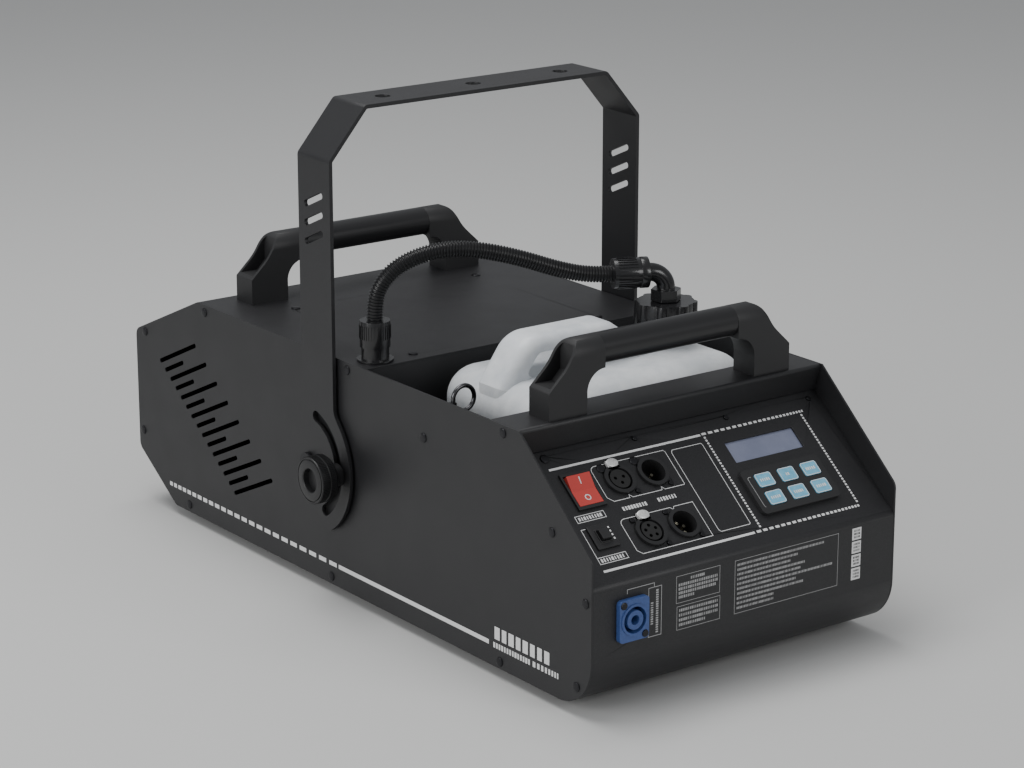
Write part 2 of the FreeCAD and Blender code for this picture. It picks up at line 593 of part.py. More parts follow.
def handle_end(label, side, y):
    """A moulded handle end: a post that sweeps inwards to the bar, hollow on its outer slope."""
    post = "(Sizes.handle_half - Sizes.handle_post)"
    under = "(Sizes.handle_height - 2 * Sizes.bar_radius)"
    near = f"{y} - Sizes.handle_depth / 2"
    profile = free_sketch(f"{label}_profile", "XZ")
    corners = [
        (post, "0", None), ("Sizes.handle_half", "0", None),
        ("Sizes.handle_half", "Sizes.shoulder_height", "1.5"),
        ("(Sizes.handle_half + Sizes.shoulder_reach) / 2 - 2",
         "(Sizes.shoulder_height + Sizes.handle_height) / 2 - 2", "45"),
        ("Sizes.shoulder_reach", "Sizes.handle_height", "11"),
        ("Sizes.bar_half", "Sizes.handle_height", None), ("Sizes.bar_half", under, None),
        (post, under, "Sizes.handle_half - Sizes.handle_post - Sizes.bar_half - 0.2"),
    ]
    slope = [
        ("Sizes.handle_half + 1", "Sizes.shoulder_height + 2.5"),
        ("Sizes.handle_half + 1", "Sizes.handle_height + 2"),
        ("Sizes.shoulder_reach + 2.5", "Sizes.handle_height + 2"),
        ("Sizes.shoulder_reach + 2.5", "Sizes.handle_height - 24"),
        ("Sizes.handle_half - 18", "Sizes.shoulder_height + 2.5"),
    ]
    if side < 0:
        corners.reverse()
        slope.reverse()
    draw_outline(profile, [(f"{side} * ({x})", f"{TOP} + {z}", radius) for x, z, radius in corners])
    block = extrude(f"{label}_block", profile, "Sizes.handle_depth", (0, 1, 0), near)
    mouth = free_sketch(f"{label}_mouth", "XZ")
    draw_outline(mouth, [(f"{side} * ({x})", f"{TOP} + {z}", None) for x, z in slope])
    hollow = extrude(f"{label}_hollow", mouth, "Sizes.handle_depth", (0, 1, 0), near)
    outside = common(f"{label}_outside", block, handle_arch(f"{label}_arch", y, "0"))
    inside = common(f"{label}_inside", hollow,
                    handle_arch(f"{label}_inner_arch", y, "Sizes.pocket_wall"))
    keep(cut(f"{label}_whole", outside, [inside]), label)


def handle(name, y):
    handle_end(f"{name}_left_end", -1, y)
    handle_end(f"{name}_right_end", 1, y)
    bar = cylinder(f"{name}_rod", "Sizes.bar_radius", "2 * Sizes.bar_half",
                   ("-Sizes.bar_half", y, f"{TOP} + Sizes.handle_height - Sizes.bar_radius"), "X")
    shell = cut(f"{name}_tube", bar, [
        cylinder(f"{name}_bore", "Sizes.bar_radius - 1.5", "2 * Sizes.bar_half",
                 ("-Sizes.bar_half", y, f"{TOP} + Sizes.handle_height - Sizes.bar_radius"), "X")])
    keep(shell, f"{name}_bar")


# Yoke -------------------------------------------------------------------------------------------

def yoke_ear(side):
    """The strap's lower end: it swells round the pivot and ends round the arc slot."""
    start = 140
    finish = 236
    middle = (start + finish) / 2
    spread = (finish - start) / 2
    flare_z = (f"({PIVOT_Z} + Sizes.ear_radius * sin({start}) + (Sizes.strap_front - {PIVOT_Y}"
               f" - Sizes.ear_radius * cos({start})) * tan({start - 90}))")
    rear = "(Sizes.strap_front + Sizes.strap_width)"
    sketch = free_sketch(f"ear_{side}_outline", "YZ")
    draw_outline(sketch, [
        (rear, f"{flare_z} + 20", None),
        ("Sizes.strap_front", f"{flare_z} + 20", None),
        ("Sizes.strap_front", flare_z, "12"),
        (f"{PIVOT_Y} + Sizes.ear_radius / cos({spread}) * cos({middle})",
         f"{PIVOT_Z} + Sizes.ear_radius / cos({spread}) * sin({middle})", "Sizes.ear_radius"),
        (f"{PIVOT_Y} + Sizes.ear_radius * cos({finish}) - 2 * sin({finish})",
         f"{PIVOT_Z} + Sizes.ear_radius * sin({finish}) + 2 * cos({finish})", None),
        (f"{SLOT_LOW_Y} + Sizes.ear_radius - Sizes.slot_radius - 0.4", f"{SLOT_LOW_Z} - 3", None),
        (rear, f"{PIVOT_Z} - 15", "6"),
    ])
    lift = "Sizes.yoke_half - Sizes.yoke_thickness" if side > 0 else "-Sizes.yoke_half"
    plate = extrude(f"ear_{side}", sketch, "Sizes.yoke_thickness", (1, 0, 0), lift)
    tip = cylinder(f"ear_tip_{side}", "Sizes.ear_radius - Sizes.slot_radius",
                   "Sizes.yoke_thickness", (lift, SLOT_LOW_Y, SLOT_LOW_Z), "X")
    return [plate, tip]


SLOT_LOW_Y = f"({PIVOT_Y} + Sizes.slot_radius * cos(Sizes.slot_low_angle))"
SLOT_LOW_Z = f"({PIVOT_Z} + Sizes.slot_radius * sin(Sizes.slot_low_angle))"
SLOT_HIGH_Y = f"({PIVOT_Y} + Sizes.slot_radius * cos(Sizes.slot_high_angle))"
SLOT_HIGH_Z = f"({PIVOT_Z} + Sizes.slot_radius * sin(Sizes.slot_high_angle))"


def arc_slot_tools():
    """What cuts both arc slots and both pivot holes, right across the machine."""
    reach = "2 * Sizes.yoke_half + 10"
    left = "-Sizes.yoke_half - 5"
    sector = extrude("slot_sector", arc_slot_sketch(), reach, (1, 0, 0), left)
    ends = [cylinder(f"slot_end_{index}", "Sizes.slot_width / 2", reach, (left, y, z), "X")
            for index, (y, z) in enumerate([(SLOT_LOW_Y, SLOT_LOW_Z), (SLOT_HIGH_Y, SLOT_HIGH_Z)])]
    pivot = cylinder("pivot_hole", "Sizes.pivot_radius + Sizes.running_clearance", reach,
                     (left, PIVOT_Y, PIVOT_Z), "X")
    return [sector, pivot] + ends


def arc_slot_sketch():
    """The arc slot's band between its end centres: two arcs closed by two radial lines."""
    sketch = free_sketch("slot_band", "YZ")
    centre = Vector(reading(PIVOT_Y), reading(PIVOT_Z), 0)
    low, high = (math.radians(reading(angle))
                 for angle in ("Sizes.slot_low_angle", "Sizes.slot_high_angle"))
    arcs = []
    for sign in (1, -1):
        radius = f"(Sizes.slot_radius + {sign} * Sizes.slot_width / 2)"
        circle = Part.Circle(centre, Vector(0, 0, 1), reading(radius))
        arc = sketch.addGeometry(Part.ArcOfCircle(circle, high, low))
        set_radius(sketch, arc, radius)
        for end, angle in ((1, "Sizes.slot_high_angle"), (2, "Sizes.slot_low_angle")):
            pin_point(sketch, arc, end, f"{PIVOT_Y} + {radius} * cos({angle})",
                      f"{PIVOT_Z} + {radius} * sin({angle})")
        arcs.append(arc)
    for end in (1, 2):
        points = [sketch.getPoint(arc, end) for arc in arcs]
        line = sketch.addGeometry(Part.LineSegment(*points))
        sketch.addConstraint(Sketcher.Constraint("Coincident", line, 1, arcs[0], end))
        sketch.addConstraint(Sketcher.Constraint("Coincident", line, 2, arcs[1], end))
    return sketch


def yoke():
    """A bent steel strap with three hanging holes, six slanted slots and two ears."""
    middle = "(Sizes.strap_front + Sizes.strap_width / 2)"
    low = f"({PIVOT_Z} + Sizes.ear_radius)"
    strap = bent_sheet("strap", [
        ("-Sizes.yoke_half", low, None),
        ("-Sizes.yoke_half", "Sizes.yoke_top - Sizes.shoulder_drop", "Sizes.strap_bend"),
        ("-Sizes.top_half", "Sizes.yoke_top", "Sizes.strap_bend"),
        ("Sizes.top_half", "Sizes.yoke_top", "Sizes.strap_bend"),
        ("Sizes.yoke_half", "Sizes.yoke_top - Sizes.shoulder_drop", "Sizes.strap_bend"),
        ("Sizes.yoke_half", low, None),
    ], "Sizes.strap_width", plane="XZ", thickness="-Sizes.yoke_thickness")
    strap.setExpression("Placement.Base.y", middle)
    joined = fuse("yoke_blank", [strap] + yoke_ear(-1) + yoke_ear(1))
    slots = free_sketch("strap_slots", "YZ")
    for step in range(3):
        draw_slot(slots, f"{middle} + Sizes.strap_slot_length / 2 - Sizes.strap_slot_width / 2",
                  f"Sizes.strap_slot_height - Sizes.strap_slot_length / 4 * 0.9"
                  f" - {step - 1} * Sizes.strap_slot_pitch - Sizes.strap_slot_pitch",
                  "Sizes.strap_slot_length", "180 - Sizes.strap_slot_angle",
                  "Sizes.strap_slot_width")
    slanted = extrude("strap_slots_cut", slots, "2 * Sizes.yoke_half + 10", (1, 0, 0), middle=True)
    hangers = [cylinder(f"hang_hole_{step}", "Sizes.hang_hole_radius", "12",
                        (f"{step} * Sizes.hang_hole_pitch", middle, "Sizes.yoke_top - 8"))
               for step in (-1, 0, 1)]
    keep(cut("yoke", joined, arc_slot_tools() + [slanted] + hangers), "yoke")


def pivot_bolts():
    """Each bolt passes the yoke and the side plate, with a spacer between them."""
    solids = []
    gap = "(Sizes.yoke_half - Sizes.yoke_thickness - Sizes.body_width / 2)"
    play = "0.15"
    for side in (-1, 1):
        outer = f"{side} * (Sizes.yoke_half + {play})"
        head_end = f"-Sizes.yoke_half - {play} - Sizes.pivot_head_height" if side < 0 else outer
        head = cylinder(f"bolt_head_{side}", "Sizes.pivot_head_radius", "Sizes.pivot_head_height",
                        (head_end, PIVOT_Y, PIVOT_Z), "X")
        inner = f"({SIDE} - 12)"
        shank_start = f"-Sizes.yoke_half - {play}" if side < 0 else inner
        shank = cylinder(f"bolt_shank_{side}", "Sizes.pivot_radius",
                         f"Sizes.yoke_half + {play} - {inner}",
                         (shank_start, PIVOT_Y, PIVOT_Z), "X")
        spacer_start = (f"-{SIDE} - {gap} + {play}" if side < 0 else SIDE)
        spacer = cylinder(f"bolt_spacer_{side}", "Sizes.pivot_radius + 5", f"{gap} - {play}",
                          (spacer_start, PIVOT_Y, PIVOT_Z), "X")
        nut_start = f"-{INSIDE}" if side < 0 else f"{INSIDE} - 6"
        nut = cylinder(f"bolt_nut_{side}", "6.5", "6", (nut_start, PIVOT_Y, PIVOT_Z), "X")
        solids.append(fuse(f"pivot_bolt_{side}", [head, shank, spacer, nut]))
    group = doc.addObject("Part::Compound", "pivot_bolts")
    group.Links = solids
    keep(group, "pivot_bolts")


def knob(label, side):
    """A clamp knob with its threaded stud, which runs through the arc slot into the chassis."""
    face = "(Sizes.yoke_half + Sizes.knob_gap)"
    tip = f"({face} + Sizes.knob_length)"
    waist = f"({face} + Sizes.knob_hub_length)"
    y = f"{PIVOT_Y} - Sizes.slot_radius"
    grip = cylinder(f"{label}_grip", "Sizes.knob_radius", f"{tip} - {waist}",
                    (f"-{tip}" if side < 0 else waist, y, PIVOT_Z), "X")
    hub = cylinder(f"{label}_hub", "Sizes.knob_hub_radius", "Sizes.knob_hub_length + 1",
                   (f"-{waist} - 1" if side < 0 else face, y, PIVOT_Z), "X")
    stud = cylinder(f"{label}_stud", "Sizes.stud_radius", f"{face} + 1 - {SIDE} + 10",
                    (f"-{face} - 1" if side < 0 else f"{SIDE} - 10", y, PIVOT_Z), "X")
    dish = cylinder(f"{label}_dish", "Sizes.knob_dish_radius", "Sizes.knob_dish_depth",
                    (f"-{tip}" if side < 0 else f"{tip} - Sizes.knob_dish_depth", y, PIVOT_Z),
                    "X")
    keep(cut(label, fuse(f"{label}_whole", [grip, hub, stud]), [dish]), label)


# Fluid tank and hose ----------------------------------------------------------------------------

def rounded_box(name, size, centre, base, radius):
    block = box(f"{name}_block", size, centre, base)
    doc.recompute()
    soft = doc.addObject("Part::Fillet", name)
    soft.Base = block
    value = reading(radius)
    soft.Edges = [(number + 1, value, value) for number in range(len(block.Shape.Edges))]
    return soft


def soften(ring, name):
    """Rounds the grip's long edges on both faces: wide outside, narrower round the finger gap."""
    doc.recompute()
    soft = doc.addObject("Part::Fillet", name)
    soft.Base = ring
    half = SIZES["grip_width"] / 2
    gap = reading(GRIP_GAP_TOP)
    sides = []
    for number, edge in enumerate(ring.Shape.Edges, start=1):
        box = edge.BoundBox
        if box.YLength > 1e-3 or abs(abs(box.YMin - reading(BAY_MIDDLE)) - half) > 1e-3:
            continue
        inner = (box.ZMin > reading(f"{TANK_TOP}") and box.ZMax < gap + 1e-3
                 and box.XMin > reading("-Sizes.tank_left + 26.9"))
        value = reading("Sizes.grip_hole_round" if inner else "Sizes.grip_round")
        sides.append((number, value, value))
    soft.Edges = sides
    return soft


def fluid_tank():
    """A blow-moulded can: hollow body, a neck for the cap and a moulded-in carrying grip."""
    middle_x = "(Sizes.tank_right - Sizes.tank_left) / 2"
    length = "(Sizes.tank_right + Sizes.tank_left)"
    outer = rounded_box("tank_outer", (length, "Sizes.tank_depth", "Sizes.tank_height"),
                        (middle_x, BAY_MIDDLE), "Sizes.bay_floor", "Sizes.tank_round")
    inner = rounded_box(
        "tank_inner", (f"{length} - 2 * Sizes.tank_wall", "Sizes.tank_depth - 2 * Sizes.tank_wall",
                       "Sizes.tank_height - 2 * Sizes.tank_wall"),
        (middle_x, BAY_MIDDLE), "Sizes.bay_floor + Sizes.tank_wall",
        "Sizes.tank_round - Sizes.tank_wall")
    grip = free_sketch("grip_outline", "XZ")
    grip_top = "Sizes.bay_floor + Sizes.grip_height"
    root = f"{TANK_TOP} - Sizes.tank_round"
    draw_outline(grip, [
        ("-Sizes.tank_left + 4", root, None),
        ("Sizes.cap_x - Sizes.cap_radius + 2", root, None),
        ("Sizes.cap_x - Sizes.cap_radius + 2", f"{TANK_TOP} + 2", "10"),
        ("Sizes.cap_x - Sizes.cap_radius - 40", grip_top, "16"),
        ("-Sizes.tank_left + 29", grip_top, "26"),
        ("-Sizes.tank_left + 4", f"{TANK_TOP} - 4", None),
    ])
    grip_body = extrude("grip_solid", grip, "Sizes.grip_width", (0, 1, 0),
                        f"{BAY_MIDDLE} - Sizes.grip_width / 2")
    hole = free_sketch("grip_hole", "XZ")
    draw_outline(hole, [
        ("-Sizes.tank_left + 27", f"{TANK_TOP} + 0.5", "4"),
        ("Sizes.cap_x - Sizes.cap_radius - 28", f"{TANK_TOP} + 0.5", "4"),
        ("Sizes.cap_x - Sizes.cap_radius - 42", f"{grip_top} - Sizes.grip_thick", "7"),
        ("-Sizes.tank_left + 40", f"{grip_top} - Sizes.grip_thick", "7"),
    ])
    finger_gap = extrude("grip_gap", hole, "Sizes.grip_width + 10", (0, 1, 0),
                         f"{BAY_MIDDLE} - Sizes.grip_width / 2 - 5")
    neck = cylinder("neck", "Sizes.neck_radius", "Sizes.neck_height + 6",
                    ("Sizes.cap_x", BAY_MIDDLE, f"{TANK_TOP} - 6"))
    bore = cylinder("neck_bore", "Sizes.neck_radius - Sizes.neck_wall", "Sizes.neck_height + 20",
                    ("Sizes.cap_x", BAY_MIDDLE, f"{TANK_TOP} - 12"))
    grip_ring = soften(cut("grip_ring", grip_body, [finger_gap]), "grip_handle")
    whole = fuse("tank_whole", [outer, grip_ring, neck])
    keep(cut("fluid_tank", whole, [inner, bore]), "fluid_tank")


def tank_cap():
    """Screw cap with grip lobes; the elbow's stem passes its middle."""
    base = f"{CAP_TOP} - Sizes.cap_height"
    at = ("Sizes.cap_x", BAY_MIDDLE, base)
    core = cylinder("cap_core", "Sizes.cap_radius - Sizes.lobe_radius / 2", "Sizes.cap_height", at)
    lobes = []
    for number in range(int(SIZES["lobe_count"])):
        angle = f"{number} * 360 / Sizes.lobe_count"
        lobes.append(cylinder(
            f"cap_lobe_{number}", "Sizes.lobe_radius", "Sizes.cap_height",
            (f"Sizes.cap_x + (Sizes.cap_radius - Sizes.lobe_radius) * cos({angle})",
             f"{BAY_MIDDLE} + (Sizes.cap_radius - Sizes.lobe_radius) * sin({angle})", base)))
    inside = cylinder("cap_inside", "Sizes.neck_radius + Sizes.cap_gap",
                      "Sizes.cap_height - Sizes.cap_wall", at)
    stem = cylinder("cap_stem_hole", "Sizes.elbow_radius + Sizes.running_clearance",
                    "Sizes.cap_height + 2", at)
    keep(cut("tank_cap", fuse("cap_blank", [core] + lobes), [inside, stem]), "tank_cap")


def swept_tube(name, points, bend_radii, radius, bore=None):
    """A tube along straight runs joined by tangent arcs, in the hose's upright plane."""
    edges = []
    here = points[0]
    for before, point, after, bend in zip(points, points[1:], points[2:], bend_radii):
        back = (before - point).normalize()
        ahead = (after - point).normalize()
        half = back.getAngle(ahead) / 2
        reach = bend / math.tan(half)
        centre_way = (back + ahead).normalize()
        centre = point + centre_way * (bend / math.sin(half))
        first = point + back * reach
        last = point + ahead * reach
        edges.append(Part.LineSegment(here, first).toShape())
        edges.append(Part.Arc(first, centre - centre_way * bend, last).toShape())
        here = last
    edges.append(Part.LineSegment(here, points[-1]).toShape())
    path = Part.Wire(edges)
    ring = Part.Wire(Part.Circle(points[0], points[1] - points[0], radius).toShape())
    solid = path.makePipeShell([ring], True, True)
    expected = math.pi * radius ** 2 * path.Length
    print(f"{name}: length {path.Length:.1f}, volume ratio {solid.Volume / expected:.4f}")
    if bore:
        hole = Part.Wire(Part.Circle(points[0], points[1] - points[0], bore).toShape())
        solid = solid.cut(path.makePipeShell([hole], True, True))
    return solid


def tank_elbow():
    """Barbed elbow through the cap, with its hexagon nut, lock collar and dip tube spigot."""
    height = reading("Sizes.elbow_height")
    bend = reading("Sizes.elbow_bend")
    bottom = reading(f"{NECK_TOP} - 14")
    end = reading("Sizes.collar_start")
    tube = swept_tube("tank_elbow", [Vector(0, 0, bottom), Vector(0, 0, height),
                                     Vector(end + 1, 0, height)],
                      [bend], reading("Sizes.elbow_radius"), reading("Sizes.elbow_bore"))
    collar = Part.makeCylinder(reading("Sizes.collar_radius"), reading("Sizes.collar_width"),
                               Vector(end, 0, height), Vector(1, 0, 0))
    collar = collar.cut(Part.makeCylinder(reading("Sizes.elbow_bore"), 40,
                                          Vector(end - 10, 0, height), Vector(1, 0, 0)))
    nut_base = reading(f"{CAP_TOP} + Sizes.cap_gap")
    corners = [Vector(reading("Sizes.nut_radius") * math.cos(math.radians(60 * turn)),
                      reading("Sizes.nut_radius") * math.sin(math.radians(60 * turn)), nut_base)
               for turn in range(7)]
    nut = Part.Face(Part.makePolygon(corners)).extrude(Vector(0, 0, reading("Sizes.nut_height")))
    nut = nut.cut(Part.makeCylinder(reading("Sizes.elbow_radius") - 0.5, 40,
                                    Vector(0, 0, nut_base - 5)))
    item = doc.addObject("Part::Feature", "tank_elbow")
    item.Shape = tube.multiFuse([collar, nut]).removeSplitter()
    keep(item, "tank_elbow", "hose")


def gland_nuts():
    """The ribbed gland nut on the elbow, and the gland with its locknut on the rear cover."""
    start = "(Sizes.collar_start + Sizes.collar_width)"
    keep(cylinder("tank_gland_nut", "Sizes.gland_radius",
                  f"Sizes.tank_gland_end - {start}", (start, "0", "Sizes.elbow_height"), "X"),
         "tank_gland_nut", "hose")
    nut = cylinder("gland_nut", "Sizes.gland_radius",
                   f"Sizes.cover_gland_top - {TOP} - Sizes.locknut_height",
                   (GLAND_RUN, "0", f"{TOP} + Sizes.locknut_height"))
    body = cylinder("gland_body", "Sizes.gland_radius - 1", "Sizes.locknut_height",
                    (GLAND_RUN, "0", TOP))
    flange = cylinder("gland_flange", "Sizes.locknut_radius", "Sizes.gland_flange",
                      (GLAND_RUN, "0", TOP))
    thread = cylinder("gland_thread", "Sizes.hose_radius + 0.8", "12", (GLAND_RUN, "0", f"{TOP} - 12"))
    keep(fuse("cover_gland", [nut, body, flange, thread]), "cover_gland", "hose")


def fluid_hose():
    """Corrugated hose from the tank's gland to the cover's, as one smooth free span."""
    points = [Vector(distance, 0, height) for distance, height in HOSE_ROUTE]
    points[-2].x = reading(GLAND_RUN) - (HOSE_ROUTE[-1][0] - HOSE_ROUTE[-2][0])
    points[-1].x = reading(GLAND_RUN)
    bends = []
    for before, point, after in zip(points, points[1:], points[2:]):
        turn = (point - before).getAngle(after - point)
        shorter = min((point - before).Length, (after - point).Length)
        bends.append(0.45 * shorter / math.tan(turn / 2))
    print("hose bend radii", [round(bend, 1) for bend in bends])
    item = doc.addObject("Part::Feature", "fluid_hose")
    item.Shape = swept_tube("fluid_hose", points, bends, reading("Sizes.hose_radius"))
    keep(item, "fluid_hose", "hose")


def pickup_tube():
    at = ("Sizes.cap_x", BAY_MIDDLE, "Sizes.bay_floor + 12")
    height = f"{NECK_TOP} - 14 - Sizes.bay_floor - 12"
    tube = cylinder("dip_tube", "Sizes.pickup_radius", height, at)
    bore = cylinder("dip_bore", "Sizes.pickup_radius - 2", height, at)
    keep(cut("fluid_pickup_tube", tube, [bore]), "fluid_pickup_tube")


def strap_ring():
    """The steel ring for the tank's strap, on an eye fixed to the bay's left wall."""
    ring = doc.addObject("Part::Torus", "ring_wire")
    ring.Placement = FreeCAD.Placement(Vector(), Rotation(Vector(1, 0, 0), 90))
    bind(ring, {"Radius1": "Sizes.ring_radius - Sizes.ring_wire", "Radius2": "Sizes.ring_wire",
                "Placement.Base.x": f"-{INSIDE} + Sizes.ring_radius + 1",
                "Placement.Base.y": f"{BAY_MIDDLE} - 29", "Placement.Base.z": f"{TOP} + 1.5"})
    stalk = box("ring_eye", ("4", "5", "8"), (f"-{INSIDE} + 2", f"{BAY_MIDDLE} - 29"), f"{TOP} - 8")
    keep(fuse("tank_strap_ring", [ring, stalk]), "tank_strap_ring")


# Control panel pieces, in panel coordinates: X across, Y up the slope, Z out of the panel ---------

def rocker_switch():
    centre = ("Sizes.rocker_x", "Sizes.rocker_y")
    cavity = ("Sizes.rocker_width - 2 * Sizes.rocker_wall", "Sizes.rocker_length - 2 * Sizes.rocker_wall - 1")
    bezel = box("rocker_bezel", ("Sizes.rocker_width", "Sizes.rocker_length", "2"), centre, "0")
    shell = box("rocker_shell", ("Sizes.rocker_width - 3.2", "Sizes.rocker_length - 3.2", "24"),
                centre, "-24")
    hollow = box("rocker_hollow", (cavity[0], cavity[1], "14"), centre, "-12")
    pin = cylinder("rocker_pin_hole", "Sizes.rocker_pin_radius + Sizes.running_clearance / 2",
                   "Sizes.rocker_width - 2.4",
                   ("Sizes.rocker_x - Sizes.rocker_width / 2 + 1.2", "Sizes.rocker_y", "-3"), "X")
    keep(cut("rocker_housing", fuse("rocker_case", [bezel, shell]), [hollow, pin]),
         "rocker_housing", "panel")
    profile = free_sketch("rocker_profile", "YZ")
    corners = [("-12.1", "6.4"), ("-11.9", "0"), ("-5", "-8"), ("5", "-8"), ("11.9", "0"),
               ("12.1", "6.4"), ("0", "4.6")]
    tilt = "Sizes.rocker_travel / 2"
    draw_outline(profile, [
        (f"Sizes.rocker_y + ({y}) * cos({tilt}) - ({z}) * sin({tilt})",
         f"-3 + ({y}) * sin({tilt}) + ({z}) * cos({tilt})", None) for y, z in corners])
    button = extrude("rocker_button_solid", profile, f"{cavity[0]} - 0.8", (1, 0, 0),
                     f"Sizes.rocker_x - ({cavity[0]} - 0.8) / 2")
    pins = cylinder("rocker_pins", "Sizes.rocker_pin_radius", "Sizes.rocker_width - 3.6",
                    ("Sizes.rocker_x - Sizes.rocker_width / 2 + 1.8", "Sizes.rocker_y", "-3"), "X")
    keep(fuse("power_rocker", [button, pins]), "power_rocker", "panel")


def breaker():
    centre = ("Sizes.breaker_x", "Sizes.breaker_y")
    bezel = box("breaker_bezel", ("Sizes.breaker_side", "Sizes.breaker_side", "1.6"), centre, "0")
    shell = box("breaker_shell", ("Sizes.breaker_side - 3.2", "Sizes.breaker_side - 3.2", "26"),
                centre, "-26")
    collar = box("breaker_collar", ("Sizes.breaker_button + 3", "Sizes.breaker_button + 3", "2.6"),
                 centre, "0")
    bore = box("breaker_bore", ("Sizes.breaker_button + 0.6", "Sizes.breaker_button + 0.6", "14"),
               centre, "-9")
    keep(cut("breaker_housing", fuse("breaker_case", [bezel, shell, collar]), [bore]),
         "breaker_housing", "panel")
    button = box("breaker_button", ("Sizes.breaker_button", "Sizes.breaker_button",
                                    "Sizes.breaker_proud + 6 + 2.6"), centre, "-6")
    keep(button, "breaker_button", "panel")


def contact_spots(count):
    """Contact places about a socket's middle: three in a triangle, or five round a circle."""
    if count == 3:
        return [(-3.6, 1.2), (3.6, 1.2), (0, -3.4)]
    return [(4.6 * math.cos(math.radians(angle)), 4.6 * math.sin(math.radians(angle)))
            for angle in (-90 + 36, 18, 90, 162, 234)]


def socket_shell(name, x, y):
    """A socket's barrel with the flange behind the panel, and what its bore and screws cut."""
    ring = cylinder(f"{name}_ring", "Sizes.socket_radius", "Sizes.socket_proud + Sizes.socket_deep",
                    (x, y, "-Sizes.socket_deep"))
    flange = box(f"{name}_flange", ("Sizes.flange_width", "Sizes.flange_height", "2"), (x, y),
                 "-Sizes.sheet_thickness - 2")
    tools = [cylinder(f"{name}_bore", "Sizes.socket_bore", "Sizes.socket_proud + 14", (x, y, "-14"))]
    for side in (-1, 1):
        tools.append(cylinder(f"{name}_screw_{side}", "Sizes.screw_radius + Sizes.seat_gap", "6",
                              (f"{x} + {side} * Sizes.flange_dx",
                               f"{y} - {side} * Sizes.flange_dy", "-6")))
    return fuse(f"{name}_barrel", [ring, flange]), tools


def data_out(name, x, y, count):
    """Female socket: a shell, an insert with holes for the contacts, and a push latch."""
    barrel, tools = socket_shell(name, x, y)
    tools.append(box(f"{name}_notch", ("Sizes.latch_width + 0.8", "7", "8"),
                     (x, f"{y} + Sizes.latch_rise - 1"), "-4"))
    keep(cut(f"{name}_shell", barrel, tools), f"{name}_shell", "panel")
    core = cylinder(f"{name}_core", "Sizes.insert_radius", "Sizes.socket_proud + 13.5",
                    (x, y, "-14"))
    holes = [cylinder(f"{name}_hole_{number}", "Sizes.pin_radius + 0.15", "10",
                      (f"{x} + {dx:.3f}", f"{y} + {dy:.3f}", "Sizes.socket_proud - 8"))
             for number, (dx, dy) in enumerate(contact_spots(count))]
    keep(cut(f"{name}_insert", core, holes), f"{name}_insert", "panel")
    tab = box(f"{name}_latch", ("Sizes.latch_width", "Sizes.latch_height", "3.2"),
              (x, f"{y} + Sizes.latch_rise"), "0.4")
    keep(tab, f"{name}_latch", "panel")


def data_in(name, x, y, count):
    """Male socket: an open cup with contact pins standing on its floor."""
    barrel, tools = socket_shell(name, x, y)
    keep(cut(f"{name}_shell", barrel, tools), f"{name}_shell", "panel")
    pins = [cylinder(f"{name}_pin_{number}", "Sizes.pin_radius", "Sizes.pin_length",
                     (f"{x} + {dx:.3f}", f"{y} + {dy:.3f}", "-14"))
            for number, (dx, dy) in enumerate(contact_spots(count))]
    group = doc.addObject("Part::Compound", f"{name}_pins")
    group.Links = pins
    keep(group, f"{name}_pins", "panel")


def display_and_keypad():
    """Display window and module behind the panel; raised keypad with six keys."""
    at = ("Sizes.display_x", "Sizes.display_y")
    behind = "-Sizes.sheet_thickness"
    keep(box("display_window", ("Sizes.display_width + 6", "Sizes.display_height + 6", "1.5"), at,
             f"{behind} - 1.5"), "display_window", "panel")
    keep(box("display_module", ("Sizes.display_width + 14", "Sizes.display_height + 16", "10.5"), at,
             f"{behind} - 12"), "display_module", "panel")
    body = new_body("keypad_bezel")
    outline = sketch_on(body, "XY")
    draw_rectangle(outline, "Sizes.keypad_x", "Sizes.keypad_y", "Sizes.keypad_width",
                   "Sizes.keypad_height", "Sizes.keypad_round")
    add_pad(body, outline, "Sizes.keypad_proud")
    wells = sketch_on(body, "XY", "Sizes.keypad_proud")
    for x, y in key_spots():
        draw_rectangle(wells, x, y, "(Sizes.key_width + 2 * Sizes.key_gap)",
                       "(Sizes.key_height + 2 * Sizes.key_gap)", "2")
    add_pocket(body, wells, "Sizes.keypad_proud - 0.8")
    keep(body, "keypad_bezel", "panel")
    names = ("timer_key", "volume_key", "manual_key", "function_key", "up_key", "down_key")
    for label, (x, y) in zip(names, key_spots()):
        key = new_body(label)
        face = sketch_on(key, "XY", "1.6")
        draw_rectangle(face, x, y, "Sizes.key_width", "Sizes.key_height", "1.7")
        add_pad(key, face, "Sizes.keypad_proud + 0.5 - 1.6")
        keep(key, label, "panel")


def key_spots():
    return [(f"Sizes.key_first_x + {column} * Sizes.key_pitch_x",
             f"Sizes.key_first_y + {row} * Sizes.key_pitch_y")
            for row in (0, 1) for column in (0, 1, 2)]


